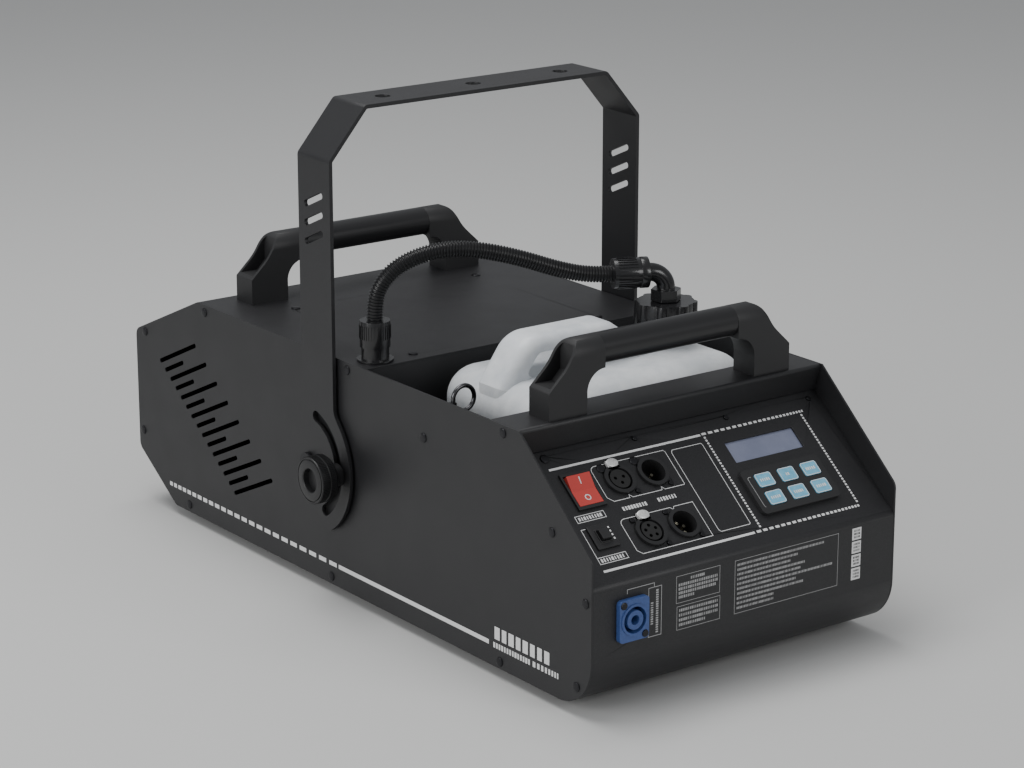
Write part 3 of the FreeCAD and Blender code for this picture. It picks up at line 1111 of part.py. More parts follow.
def power_inlet():
    """Locking mains inlet: flange, round mouth with a deep groove, and a keyed core."""
    face = f"{FRONT} - Sizes.inlet_proud"
    centre = ("Sizes.inlet_x", "Sizes.inlet_z")
    body = new_body("power_inlet")
    flange = sketch_on(body, "XZ", f"-({FRONT})")
    draw_rectangle(flange, *centre, "Sizes.inlet_width", "Sizes.inlet_height", "3")
    add_pad(body, flange, "Sizes.inlet_proud")
    mouth = sketch_on(body, "XZ", f"-({FRONT})")
    draw_circle(mouth, *centre, "Sizes.inlet_ring_radius")
    add_pad(body, mouth, "Sizes.inlet_proud + Sizes.inlet_ring_proud")
    barrel = sketch_on(body, "XZ", f"-({FRONT})")
    draw_circle(barrel, *centre, "Sizes.inlet_ring_radius")
    add_pad(body, barrel, "Sizes.inlet_depth + 6", back=True)
    groove = sketch_on(body, "XZ", f"-({face}) + Sizes.inlet_ring_proud")
    draw_circle(groove, *centre, "Sizes.inlet_groove_radius")
    draw_circle(groove, *centre, "Sizes.inlet_core_radius")
    add_pocket(body, groove, "Sizes.inlet_depth")
    keyway = sketch_on(body, "XZ", f"-({face}) + Sizes.inlet_ring_proud")
    draw_circle(keyway, *centre, "Sizes.inlet_core_radius - 3.4")
    add_pocket(body, keyway, "Sizes.inlet_depth - 3")
    holes = sketch_on(body, "XZ", f"-({face})")
    for side in (-1, 1):
        draw_circle(holes, f"Sizes.inlet_x - {side} * Sizes.flange_dx",
                    f"Sizes.inlet_z + {side} * Sizes.flange_dy", "Sizes.screw_radius + Sizes.seat_gap")
    add_pocket(body, holes, "Sizes.inlet_proud")
    keep(body, "power_inlet")


# Inner works ------------------------------------------------------------------------------------

def inner_works():
    """Insulated heater, its nozzle, the metering pump and the control board."""
    heater_end = f"({REAR} - 22)"
    under = "(Sizes.nozzle_height - Sizes.heater_height / 2)"
    block = box("heater_core", ("Sizes.heater_width", "Sizes.heater_length", "Sizes.heater_height"),
                ("0", f"{heater_end} - Sizes.heater_length / 2"), under)
    stands = [box(f"heater_stand_{part}", ("Sizes.heater_width - 20", "14", f"{under} - {PLATE}"),
                  ("0", f"{heater_end} - Sizes.heater_length * {part} / 6"), PLATE)
              for part in (2, 5)]
    keep(fuse("heater_block", [block] + stands), "heater_block")
    stem = cylinder("nozzle_stem", "Sizes.nozzle_radius", f"{REAR} + 8 - {heater_end}",
                    ("0", heater_end, "Sizes.nozzle_height"), "Y")
    tip = cylinder("nozzle_tip", "Sizes.nozzle_radius - 3", f"Sizes.nozzle_reach + 22",
                   ("0", heater_end, "Sizes.nozzle_height"), "Y")
    bore = cylinder("nozzle_bore", "Sizes.nozzle_bore / 2", "Sizes.nozzle_reach + 22",
                    ("0", heater_end, "Sizes.nozzle_height"), "Y")
    keep(cut("nozzle", fuse("nozzle_blank", [stem, tip]), [bore]), "nozzle")
    pump_y = f"({BAY_REAR} + 14)"
    barrel = cylinder("pump_barrel", "Sizes.pump_radius", "Sizes.pump_length",
                      ("-Sizes.heater_width / 2 - 34", pump_y, f"{PLATE} + Sizes.pump_radius + 6"), "Y")
    foot = box("pump_foot", ("2 * Sizes.pump_radius", "Sizes.pump_length - 10", "Sizes.pump_radius + 6"),
               ("-Sizes.heater_width / 2 - 34", f"{pump_y} + Sizes.pump_length / 2"), PLATE)
    keep(fuse("fluid_pump", [barrel, foot]), "fluid_pump")
    keep(box("control_board", ("90", "80", "1.6"), ("65", "56"), f"-{PLATE} - 12 - 1.6"),
         "control_board", "panel")


def build():
    side_plate("left_side_plate", f"-{SIDE}")
    side_plate("right_side_plate", INSIDE)
    control_panel()
    covers()
    tank_bay()
    feet()
    screw_group("side_screws", "chassis", "YZ", SIDE_SCREWS, SIDE, mirrored=True)
    screw_group("panel_screws", "panel", "XY", PANEL_SCREWS + SOCKET_SCREWS, "0",
                "Sizes.small_head_radius")
    screw_group("cover_screws", "chassis", "XY", COVER_SCREWS, TOP)
    inlet_spots = [(f"Sizes.inlet_x - {side} * Sizes.flange_dx",
                    f"Sizes.inlet_z + {side} * Sizes.flange_dy") for side in (-1, 1)]
    screw_group("inlet_screws", "chassis", "XZ", inlet_spots,
                f"-({FRONT}) + Sizes.inlet_proud", "Sizes.small_head_radius")
    handle("front_handle", f"({FRONT} + Sizes.front_handle_setback)")
    handle("rear_handle", f"({REAR} - Sizes.rear_handle_setback)")
    yoke()
    pivot_bolts()
    knob("left_knob", -1)
    knob("right_knob", 1)
    fluid_tank()
    tank_cap()
    tank_elbow()
    gland_nuts()
    fluid_hose()
    pickup_tube()
    strap_ring()
    rocker_switch()
    breaker()
    for place, row, count in (("3pin", "Sizes.socket_upper_y", 3), ("5pin", "Sizes.socket_lower_y", 5)):
        data_out(f"data_out_{place}", "Sizes.socket_left_x", row, count)
        data_in(f"data_in_{place}", "Sizes.socket_right_x", row, count)
    display_and_keypad()
    power_inlet()
    inner_works()
    doc.recompute()


def export():
    """Check every object and every sub-part's shape, then write one file for each sub-part."""
    for item in doc.Objects:
        if "Invalid" in item.State or "Error" in item.State:
            raise ValueError(f"{item.Label} failed: {item.State}")
    for item in nodes:
        if item.Shape.isNull() or not item.Shape.isValid() or not item.Shape.Solids:
            raise ValueError(f"{item.Label} has no valid solid")
    os.makedirs("parts", exist_ok=True)
    for item in nodes:
        item.Shape.exportStep(f"parts/{item.Label}.step")
    print(len(nodes), "sub-parts written")


build()
export()
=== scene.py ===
import math

import bmesh
import bpy
from mathutils import Matrix, Vector
from mathutils.bvhtree import BVHTree


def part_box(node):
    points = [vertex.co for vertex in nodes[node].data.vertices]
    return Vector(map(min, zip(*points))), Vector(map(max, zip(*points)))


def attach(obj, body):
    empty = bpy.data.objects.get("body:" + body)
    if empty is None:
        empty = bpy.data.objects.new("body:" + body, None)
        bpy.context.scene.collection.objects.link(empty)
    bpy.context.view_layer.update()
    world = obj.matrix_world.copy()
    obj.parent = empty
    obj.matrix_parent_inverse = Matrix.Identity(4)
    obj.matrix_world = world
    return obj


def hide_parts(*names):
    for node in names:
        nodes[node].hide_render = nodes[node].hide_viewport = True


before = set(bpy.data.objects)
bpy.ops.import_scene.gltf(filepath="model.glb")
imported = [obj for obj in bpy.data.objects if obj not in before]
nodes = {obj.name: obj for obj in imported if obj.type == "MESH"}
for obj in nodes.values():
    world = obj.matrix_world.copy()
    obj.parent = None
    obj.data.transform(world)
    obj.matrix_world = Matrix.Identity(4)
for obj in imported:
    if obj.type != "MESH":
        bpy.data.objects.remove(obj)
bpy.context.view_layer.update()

# Camera, floor and lights. The machine stands on a pale floor under three soft boxes: a broad
# one overhead, one at the left for the printed side, and a smaller one in front.
plate_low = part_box("left_side_plate")[0]
front_y, base_z = plate_low[1], plate_low[2]

camera_data = bpy.data.cameras.new("camera")
camera_data.lens = 106.5
camera_data.sensor_width = 36.0
camera_data.clip_end = 30.0
camera = bpy.data.objects.new("camera", camera_data)
camera.location = (-1.34407, front_y - 1.52802, base_z + 0.8162)
camera.rotation_euler = (math.radians(90 - 16.545), 0, math.radians(-36.59))
bpy.context.collection.objects.link(camera)
bpy.context.scene.camera = camera

floor_mesh = bpy.data.meshes.new("floor")
floor_mesh.from_pydata([(-8, -8, 0), (8, -8, 0), (8, 8, 0), (-8, 8, 0)], [], [(0, 1, 2, 3)])
floor = bpy.data.objects.new("floor", floor_mesh)
bpy.context.collection.objects.link(floor)
floor_paint = bpy.data.materials.new("studio_floor")
floor_paint.use_nodes = True
floor_shader = floor_paint.node_tree.nodes["Principled BSDF"]
floor_shader.inputs["Base Color"].default_value = (0.62, 0.62, 0.61, 1)
floor_shader.inputs["Roughness"].default_value = 0.85
floor_mesh.materials.append(floor_paint)

world = bpy.data.worlds.new("studio")
world.use_nodes = True
world.node_tree.nodes["Background"].inputs["Color"].default_value = (0.80, 0.82, 0.85, 1)
world.node_tree.nodes["Background"].inputs["Strength"].default_value = 0.42
bpy.context.scene.world = world


def soft_box(name, place, aim, width, height, power):
    """A rectangular soft box at place, facing the point aim."""
    lamp = bpy.data.lights.new(name, "AREA")
    lamp.shape = "RECTANGLE"
    lamp.size = width
    lamp.size_y = height
    lamp.energy = power
    stand = bpy.data.objects.new(name, lamp)
    stand.location = place
    stand.rotation_euler = (Vector(aim) - Vector(place)).to_track_quat("-Z", "Y").to_euler()
    bpy.context.collection.objects.link(stand)


soft_box("overhead_box", (-0.3, 0.4, 2.2), (0, 0, 0.1), 1.8, 1.2, 34)
soft_box("left_box", (-2.2, -0.2, 0.9), (0, 0, 0.15), 1.2, 0.9, 20)
soft_box("front_box", (0.5, -2.4, 1.2), (0, -0.2, 0.15), 1.0, 0.8, 14)


# Hose: black corrugated nylon conduit round the fluid line, from the gland nut on the tank's
# elbow to the gland on the rear cover. It is 0.216 m long and holds its own arch.
def shader(name, colour, roughness, metallic=0.0, coat=0.0, specular=0.5):
    """A plain finish whose even values sit on the shader's own sockets."""
    material = bpy.data.materials.new(name)
    material.use_nodes = True
    bsdf = material.node_tree.nodes["Principled BSDF"]
    bsdf.inputs["Base Color"].default_value = (*colour, 1)
    bsdf.inputs["Roughness"].default_value = roughness
    bsdf.inputs["Metallic"].default_value = metallic
    bsdf.inputs["Coat Weight"].default_value = coat
    bsdf.inputs["Specular IOR Level"].default_value = specular
    return material


def grain(material, scale, depth, shades=None, roughness=None, stretch=(1, 1, 1)):
    """Give a finish its surface: fine relief, and small shifts of colour and of gloss."""
    tree = material.node_tree
    bsdf = tree.nodes["Principled BSDF"]
    place = tree.nodes.new("ShaderNodeTexCoord")
    turn = tree.nodes.new("ShaderNodeMapping")
    turn.inputs["Scale"].default_value = stretch
    tree.links.new(place.outputs["Object"], turn.inputs["Vector"])
    fine = tree.nodes.new("ShaderNodeTexNoise")
    fine.inputs["Scale"].default_value = scale
    fine.inputs["Detail"].default_value = 3.0
    fine.inputs["Roughness"].default_value = 0.6
    tree.links.new(turn.outputs["Vector"], fine.inputs["Vector"])
    relief = tree.nodes.new("ShaderNodeBump")
    relief.inputs["Strength"].default_value = 0.6
    relief.inputs["Distance"].default_value = depth
    tree.links.new(fine.outputs["Fac"], relief.inputs["Height"])
    tree.links.new(relief.outputs["Normal"], bsdf.inputs["Normal"])
    if shades:
        ramp = tree.nodes.new("ShaderNodeValToRGB")
        ramp.color_ramp.elements[0].position = 0.35
        ramp.color_ramp.elements[0].color = (*shades[0], 1)
        ramp.color_ramp.elements[1].position = 0.68
        ramp.color_ramp.elements[1].color = (*shades[1], 1)
        tree.links.new(fine.outputs["Fac"], ramp.inputs["Fac"])
        tree.links.new(ramp.outputs["Color"], bsdf.inputs["Base Color"])
    if roughness:
        broad = tree.nodes.new("ShaderNodeTexNoise")
        broad.inputs["Scale"].default_value = scale / 40
        broad.inputs["Detail"].default_value = 4.0
        tree.links.new(turn.outputs["Vector"], broad.inputs["Vector"])
        span = tree.nodes.new("ShaderNodeMapRange")
        span.inputs["To Min"].default_value = roughness[0]
        span.inputs["To Max"].default_value = roughness[1]
        tree.links.new(broad.outputs["Fac"], span.inputs["Value"])
        tree.links.new(span.outputs["Result"], bsdf.inputs["Roughness"])
    return material


def finished(mesh, name, material, body, smooth_angle=35, stands_for=()):
    """Name a finished mesh, give it its material, and fasten it to its body."""
    piece = bpy.data.objects.new(name, mesh)
    mesh.name = name
    if material is not None:
        mesh.materials.clear()
        mesh.materials.append(material)
    bpy.context.collection.objects.link(piece)
    mesh.set_sharp_from_angle(angle=math.radians(smooth_angle))
    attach(piece, body)
    if stands_for:
        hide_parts(*stands_for)
    return piece


def tree_with(name, sockets):
    """A geometry tree with named inputs for its sizes; returns it with its two end nodes."""
    tree = bpy.data.node_groups.new(name, "GeometryNodeTree")
    tree.interface.new_socket("Geometry", in_out="INPUT", socket_type="NodeSocketGeometry")
    for label, kind in sockets:
        tree.interface.new_socket(label, in_out="INPUT", socket_type=kind)
    tree.interface.new_socket("Geometry", in_out="OUTPUT", socket_type="NodeSocketGeometry")
    return tree, tree.nodes.new("NodeGroupInput"), tree.nodes.new("NodeGroupOutput")


def close_tree(tree, end, realised, material_socket):
    """End a tree in Realize Instances and Set Material."""
    realise = tree.nodes.new("GeometryNodeRealizeInstances")
    paint = tree.nodes.new("GeometryNodeSetMaterial")
    tree.links.new(realised, realise.inputs["Geometry"])
    tree.links.new(realise.outputs["Geometry"], paint.inputs["Geometry"])
    tree.links.new(material_socket, paint.inputs["Material"])
    tree.links.new(paint.outputs["Geometry"], end.inputs["Geometry"])


def grown(data, tree, values):
    """Run a geometry tree on some data, and return its result as a plain mesh."""
    seedling = bpy.data.objects.new("seedling", data)
    bpy.context.collection.objects.link(seedling)
    modifier = seedling.modifiers.new("grow", "NODES")
    modifier.node_group = tree
    keys = {item.name: item.identifier for item in tree.interface.items_tree
            if item.in_out == "INPUT"}
    for label, value in values.items():
        modifier[keys[label]] = value
    bpy.context.view_layer.update()
    evaluated = seedling.evaluated_get(bpy.context.evaluated_depsgraph_get())
    mesh = bpy.data.meshes.new_from_object(evaluated)
    seedling.modifiers.remove(modifier)
    bpy.data.objects.remove(seedling)
    return mesh


bay_front, bay_rear = front_y + 0.1183, front_y + 0.275
tank_axis = Vector((0.0825, (bay_front + bay_rear) / 2, base_z))
cover_gland = Vector((-0.1215, bay_rear + 0.0162, base_z))
hose_heading = math.atan2(cover_gland.y - tank_axis.y, cover_gland.x - tank_axis.x)
hose_plane = Matrix.Translation(tank_axis) @ Matrix.Rotation(hose_heading, 4, "Z")
hose_run = math.hypot(cover_gland.y - tank_axis.y, cover_gland.x - tank_axis.x)
hose_radius = 0.0064
hose_pitch = 0.0023

route = [
    (0.042, 0.242), (0.060, 0.242), (0.084, 0.2476), (0.113, 0.258), (0.141, 0.2653),
    (0.165, 0.268), (0.1865, 0.2653), (0.2042, 0.2583), (0.2172, 0.2475),
    (hose_run, 0.2325), (hose_run, 0.216),
]
route_data = bpy.data.curves.new("hose_route", "CURVE")
route_data.dimensions = "3D"
route_data.resolution_u = 24
route_spline = route_data.splines.new("NURBS")
route_spline.points.add(len(route) - 1)
for point, (along, height) in zip(route_spline.points, route):
    point.co = (*(hose_plane @ Vector((along, 0, height))), 1)
route_spline.order_u = 3
route_spline.use_endpoint_u = True
route_object = bpy.data.objects.new("hose_route", route_data)
bpy.context.collection.objects.link(route_object)
bpy.context.view_layer.update()
route_line = bpy.data.meshes.new_from_object(
    route_object.evaluated_get(bpy.context.evaluated_depsgraph_get()))

hose_tree, start, end = tree_with("corrugated_hose", [
    ("Radius", "NodeSocketFloat"), ("Rib depth", "NodeSocketFloat"),
    ("Rib pitch", "NodeSocketFloat"), ("Material", "NodeSocketMaterial")])
to_curve = hose_tree.nodes.new("GeometryNodeMeshToCurve")
resample = hose_tree.nodes.new("GeometryNodeResampleCurve")
resample.mode = "LENGTH"
quarter = hose_tree.nodes.new("ShaderNodeMath")
quarter.operation = "DIVIDE"
quarter.inputs[1].default_value = 4.0
index = hose_tree.nodes.new("GeometryNodeInputIndex")
step = hose_tree.nodes.new("ShaderNodeMath")
step.operation = "MODULO"
step.inputs[1].default_value = 4.0
crest = hose_tree.nodes.new("ShaderNodeMath")
crest.operation = "LESS_THAN"
crest.inputs[1].default_value = 1.5
lift = hose_tree.nodes.new("ShaderNodeMath")
lift.operation = "MULTIPLY_ADD"
ring = hose_tree.nodes.new("GeometryNodeCurvePrimitiveCircle")
ring.inputs["Resolution"].default_value = 28
ring.inputs["Radius"].default_value = 1.0
tube = hose_tree.nodes.new("GeometryNodeCurveToMesh")
tube.inputs["Fill Caps"].default_value = True
links = hose_tree.links
links.new(start.outputs["Geometry"], to_curve.inputs["Mesh"])
links.new(to_curve.outputs["Curve"], resample.inputs["Curve"])
links.new(start.outputs["Rib pitch"], quarter.inputs[0])
links.new(quarter.outputs[0], resample.inputs["Length"])
links.new(index.outputs[0], step.inputs[0])
links.new(step.outputs[0], crest.inputs[0])
links.new(crest.outputs[0], lift.inputs[0])
links.new(start.outputs["Rib depth"], lift.inputs[1])
links.new(start.outputs["Radius"], lift.inputs[2])
links.new(resample.outputs["Curve"], tube.inputs["Curve"])
links.new(lift.outputs[0], tube.inputs["Scale"])
links.new(ring.outputs["Curve"], tube.inputs["Profile Curve"])
close_tree(hose_tree, end, tube.outputs["Mesh"], start.outputs["Material"])
hose_nylon = grain(shader("hose_nylon", (0.012, 0.012, 0.013), 0.34), 900, 0.00012,
                   roughness=(0.28, 0.42))
hose_mesh = grown(route_line, hose_tree, {
    "Radius": hose_radius - 0.0011, "Rib depth": 0.0011, "Rib pitch": hose_pitch,
    "Material": hose_nylon})
hose = finished(hose_mesh, "corrugated_hose", None, "chassis", 50, ("fluid_hose",))
bpy.data.objects.remove(route_object)

# Sheet metal: 1.5 mm steel, folded, then coated in fine black texture powder. The coating eases
# every edge; the covers sit between the side plates.
def eased(node, width, segments=2, angle=40):
    """Close a CAD part's loose triangles up, then round its sharp edges."""
    piece = nodes[node]
    weld = piece.modifiers.new("close", "WELD")
    weld.merge_threshold = 0.00001
    ease = piece.modifiers.new("ease", "BEVEL")
    ease.width = width
    ease.segments = segments
    ease.limit_method = "ANGLE"
    ease.angle_limit = math.radians(angle)
    ease.use_clamp_overlap = True
    ease.harden_normals = True


def dressed(material, *parts):
    """Give CAD parts a finish."""
    for node in parts:
        nodes[node].data.materials.clear()
        nodes[node].data.materials.append(material)


powder_coat = grain(shader("black_powder_coat", (0.013, 0.013, 0.014), 0.45), 1500, 0.00022,
                    shades=((0.009, 0.009, 0.010), (0.021, 0.021, 0.023)),
                    roughness=(0.40, 0.52))
sheets = ("left_side_plate", "right_side_plate", "control_panel", "front_top_plate",
          "rear_top_cover", "nozzle_end_panel", "bottom_pan", "tank_bay")
dressed(powder_coat, *sheets)
for node in sheets:
    eased(node, 0.0003)


# Screws: cross-recessed pan heads in dark zinc, M4. Each head sits where the CAD screw's does
# and is turned at random, as screws are left by hand.
def turned(profile, segments=48):
    """A solid of revolution about Z; the profile runs (radius, height) from low to high."""
    points, rings, faces = [], [], []
    for radius, height in profile:
        if radius < 1e-9:
            rings.append([len(points)])
            points.append((0, 0, height))
            continue
        rings.append(list(range(len(points), len(points) + segments)))
        for number in range(segments):
            angle = 2 * math.pi * number / segments
            points.append((radius * math.cos(angle), radius * math.sin(angle), height))
    for low, high in zip(rings, rings[1:]):
        for number in range(segments):
            after = (number + 1) % segments
            corners = [low[number % len(low)], low[after % len(low)],
                       high[after % len(high)], high[number % len(high)]]
            faces.append(list(dict.fromkeys(corners)))
    mesh = bpy.data.meshes.new("turned")
    mesh.from_pydata(points, [], [face for face in faces if len(face) > 2])
    return mesh


def block(width, depth, height, centre=(0, 0, 0), bevel=0.0):
    """A block about its centre, with its edges rounded."""
    shape = bmesh.new()
    bmesh.ops.create_cube(shape, size=1)
    bmesh.ops.scale(shape, vec=(width, depth, height), verts=shape.verts)
    if bevel:
        bmesh.ops.bevel(shape, geom=shape.edges[:], offset=bevel, segments=3, affect="EDGES",
                        profile=0.5)
    bmesh.ops.translate(shape, vec=centre, verts=shape.verts)
    mesh = bpy.data.meshes.new("block")
    shape.to_mesh(mesh)
    shape.free()
    return mesh


def joined(meshes):
    """Several meshes as one."""
    shape = bmesh.new()
    for mesh in meshes:
        shape.from_mesh(mesh)
    result = bpy.data.meshes.new("joined")
    shape.to_mesh(result)
    shape.free()
    return result


def carved(mesh, tool):
    """A mesh with a tool's shape cut out of it."""
    piece = bpy.data.objects.new("carved", mesh)
    cutter = bpy.data.objects.new("cutter", tool)
    bpy.context.collection.objects.link(piece)
    bpy.context.collection.objects.link(cutter)
    bite = piece.modifiers.new("bite", "BOOLEAN")
    bite.operation = "DIFFERENCE"
    bite.solver = "EXACT"
    bite.object = cutter
    bpy.context.view_layer.update()
    result = bpy.data.meshes.new_from_object(
        piece.evaluated_get(bpy.context.evaluated_depsgraph_get()))
    bpy.data.objects.remove(piece)
    bpy.data.objects.remove(cutter)
    return result


def pan_head(radius):
    """A pan-head screw whose head's top is at the origin, looking along +Z."""
    head = turned([(0, -0.0093), (0.0016, -0.0093), (0.002, -0.0088), (0.002, -0.0013),
                   (radius, -0.0013), (radius, -0.0009), (radius * 0.9, -0.0004),
                   (radius * 0.66, -0.0001), (0, 0)], 32)
    long, wide = radius * 1.16, radius * 0.26
    cross = joined([block(long, wide, 0.0018, (0, 0, 0)), block(wide, long, 0.0018, (0, 0, 0))])
    return carved(head, cross)


def head_tops(node):
    """Where a CAD screw group's heads are, as (centre, outward direction) pairs."""
    shape = bmesh.new()
    shape.from_mesh(nodes[node].data)
    shape.transform(nodes[node].matrix_world)
    bmesh.ops.remove_doubles(shape, verts=shape.verts, dist=1e-5)
    shape.faces.ensure_lookup_table()
    left, spots = set(shape.faces), []
    while left:
        stack, island = [left.pop()], []
        while stack:
            face = stack.pop()
            island.append(face)
            for edge in face.edges:
                for other in edge.link_faces:
                    if other in left:
                        left.discard(other)
                        stack.append(other)
        ways = {}
        for face in island:
            key = tuple(round(value, 2) for value in face.normal)
            area, normal, middle = ways.get(key, (0.0, Vector(), Vector()))
            size = face.calc_area()
            ways[key] = (area + size, normal + face.normal * size,
                         middle + face.calc_center_median() * size)
        area, normal, middle = max(ways.values(), key=lambda way: way[0])
        normal.normalize()
        middle /= area
        reach = [(vertex.co - middle).dot(normal) for face in island for vertex in face.verts]
        if max(reach) < -min(reach):
            spots.append((middle + normal * max(reach), normal))
        else:
            spots.append((middle + normal * min(reach), -normal))
    shape.free()
    return spots


screw_tree, start, end = tree_with("screws", [
    ("Screw", "NodeSocketObject"), ("Seed", "NodeSocketInt"), ("Material", "NodeSocketMaterial")])
links = screw_tree.links
to_points = screw_tree.nodes.new("GeometryNodeMeshToPoints")
aim = screw_tree.nodes.new("GeometryNodeInputNamedAttribute")
aim.data_type = "FLOAT_VECTOR"
aim.inputs["Name"].default_value = "aim"
face_out = screw_tree.nodes.new("FunctionNodeAlignRotationToVector")
face_out.axis = "Z"
chance = screw_tree.nodes.new("FunctionNodeRandomValue")
chance.data_type = "FLOAT"
chance.inputs[3].default_value = 2 * math.pi
spin = screw_tree.nodes.new("FunctionNodeAxisAngleToRotation")
spin.inputs["Axis"].default_value = (0, 0, 1)
both = screw_tree.nodes.new("FunctionNodeRotateRotation")
both.rotation_space = "LOCAL"
model = screw_tree.nodes.new("GeometryNodeObjectInfo")
plant = screw_tree.nodes.new("GeometryNodeInstanceOnPoints")
links.new(start.outputs["Geometry"], to_points.inputs["Mesh"])
links.new(start.outputs["Screw"], model.inputs["Object"])
links.new(start.outputs["Seed"], chance.inputs["Seed"])
links.new(aim.outputs[0], face_out.inputs["Vector"])
links.new(chance.outputs[1], spin.inputs["Angle"])
links.new(face_out.outputs["Rotation"], both.inputs["Rotation"])
links.new(spin.outputs["Rotation"], both.inputs["Rotate By"])
links.new(to_points.outputs["Points"], plant.inputs["Points"])
links.new(model.outputs["Geometry"], plant.inputs["Instance"])
links.new(both.outputs["Rotation"], plant.inputs["Rotation"])
close_tree(screw_tree, end, plant.outputs["Instances"], start.outputs["Material"])

dark_zinc = grain(shader("dark_zinc", (0.035, 0.035, 0.038), 0.38, 0.85), 700, 0.00005,
                  roughness=(0.30, 0.46))
for node, radius, seed in (("side_screws", 0.0037, 3), ("panel_screws", 0.0037, 5),
                           ("cover_screws", 0.0037, 8), ("inlet_screws", 0.0027, 2)):
    spots = head_tops(node)
    points = bpy.data.meshes.new("heads")
    points.from_pydata([spot for spot, _ in spots], [], [])
    ways = points.attributes.new("aim", "FLOAT_VECTOR", "POINT")
    for number, (_, way) in enumerate(spots):
        ways.data[number].vector = way
    pattern = bpy.data.objects.new("screw_pattern", pan_head(radius))
    bpy.context.collection.objects.link(pattern)
    mesh = grown(points, screw_tree, {"Screw": pattern, "Seed": seed, "Material": dark_zinc})
    bpy.data.objects.remove(pattern)
    finished(mesh, node + "_cross_head", None, "chassis", 30, (node,))


# Handles: moulded nylon ends, hollow on the outer slope, on a sleeved steel bar.
nylon = grain(shader("black_nylon", (0.016, 0.016, 0.017), 0.5), 1100, 0.00018,
              roughness=(0.44, 0.58))
sleeve = grain(shader("bar_sleeve", (0.014, 0.014, 0.015), 0.32), 500, 0.00004,
               roughness=(0.26, 0.38))
handle_ends = [f"{where}_handle_{side}_end" for where in ("front", "rear")
               for side in ("left", "right")]
dressed(nylon, *handle_ends)
for node in handle_ends:
    eased(node, 0.0006, 3)
dressed(sleeve, "front_handle_bar", "rear_handle_bar")


# Yoke: one bent steel strap, coated like the body, on a dark pivot bolt each side.
dressed(powder_coat, "yoke")
eased("yoke", 0.0005, 3)
dressed(dark_zinc, "pivot_bolts")
eased("pivot_bolts", 0.0004)


# Clamp knobs: black moulded grips with a knurled rim, a ring round the face and a deep dish. The
# threaded stud runs through the yoke's arc slot into the side plate.
ribs_tree, start, end = tree_with("ribs_round", [
    ("Count", "NodeSocketInt"), ("Radius", "NodeSocketFloat"), ("Length", "NodeSocketFloat"),
    ("Width", "NodeSocketFloat"), ("Depth", "NodeSocketFloat"),
    ("Material", "NodeSocketMaterial")])
links = ribs_tree.links
rim = ribs_tree.nodes.new("GeometryNodeMeshCircle")
size = ribs_tree.nodes.new("ShaderNodeCombineXYZ")
rib = ribs_tree.nodes.new("GeometryNodeMeshCube")
spot = ribs_tree.nodes.new("GeometryNodeInputPosition")
outward = ribs_tree.nodes.new("FunctionNodeAlignRotationToVector")
outward.axis = "X"
plant = ribs_tree.nodes.new("GeometryNodeInstanceOnPoints")
links.new(start.outputs["Count"], rim.inputs["Vertices"])
links.new(start.outputs["Radius"], rim.inputs["Radius"])
for label, axis in (("Depth", "X"), ("Width", "Y"), ("Length", "Z")):
    links.new(start.outputs[label], size.inputs[axis])
links.new(size.outputs["Vector"], rib.inputs["Size"])
links.new(spot.outputs["Position"], outward.inputs["Vector"])
links.new(rim.outputs["Mesh"], plant.inputs["Points"])
links.new(rib.outputs["Mesh"], plant.inputs["Instance"])
links.new(outward.outputs["Rotation"], plant.inputs["Rotation"])
close_tree(ribs_tree, end, plant.outputs["Instances"], start.outputs["Material"])


def ribbed(count, radius, length, width, depth, middle, material):
    """A ring of ribs about Z, centred at the height middle."""
    mesh = grown(bpy.data.meshes.new("blank"), ribs_tree, {
        "Count": count, "Radius": radius, "Length": length, "Width": width, "Depth": depth,
        "Material": material})
    mesh.transform(Matrix.Translation((0, 0, middle)))
    return mesh


knob_plastic = grain(shader("knob_plastic", (0.013, 0.013, 0.014), 0.42), 900, 0.0001,
                     roughness=(0.36, 0.48))
knob_face = Vector((0.14750, front_y + 0.309 - 0.0035, base_z + 0.0954))
knob_reach, stud_root = 0.0257, 0.0155
for label, side, body in (("left_knob", -1, "left_clamp"), ("right_knob", 1, "right_clamp")):
    grip = turned([
        (0, -stud_root), (0.0036, -stud_root), (0.004, -stud_root + 0.0006), (0.004, 0),
        (0.0086, 0), (0.009, 0.0004), (0.009, 0.009), (0.0135, 0.009), (0.0165, 0.0103),
        (0.0179, 0.0125), (0.0179, 0.0172), (0.0172, 0.0177), (0.0172, 0.0184),
        (0.0179, 0.0189), (0.0179, 0.0247), (0.0176, 0.0252), (0.0168, 0.0253),
        (0.0166, 0.0246), (0.0160, 0.0246), (0.0158, 0.0254), (0.0152, knob_reach),
        (0.0098, knob_reach), (0.0092, 0.0251), (0.0090, 0.0207), (0, 0.0207)], 96)
    teeth = ribbed(84, 0.0179, 0.0056, 0.0007, 0.0011, 0.0218, knob_plastic)
    flutes = ribbed(84, 0.0178, 0.0045, 0.0007, 0.0011, 0.0148, knob_plastic)
    mesh = joined([grip, teeth, flutes])
    mesh.transform(Matrix.Translation((side * knob_face.x, knob_face.y, knob_face.z))
                   @ Matrix.Rotation(side * math.pi / 2, 4, "Y"))
    finished(mesh, label + "_knurled", knob_plastic, body, 35, (label,))


# Feet: black rubber pucks screwed under the pan.
rubber = grain(shader("foot_rubber", (0.020, 0.020, 0.020), 0.75), 600, 0.0002,
               roughness=(0.68, 0.85))
dressed(rubber, "feet")
eased("feet", 0.001, 3)


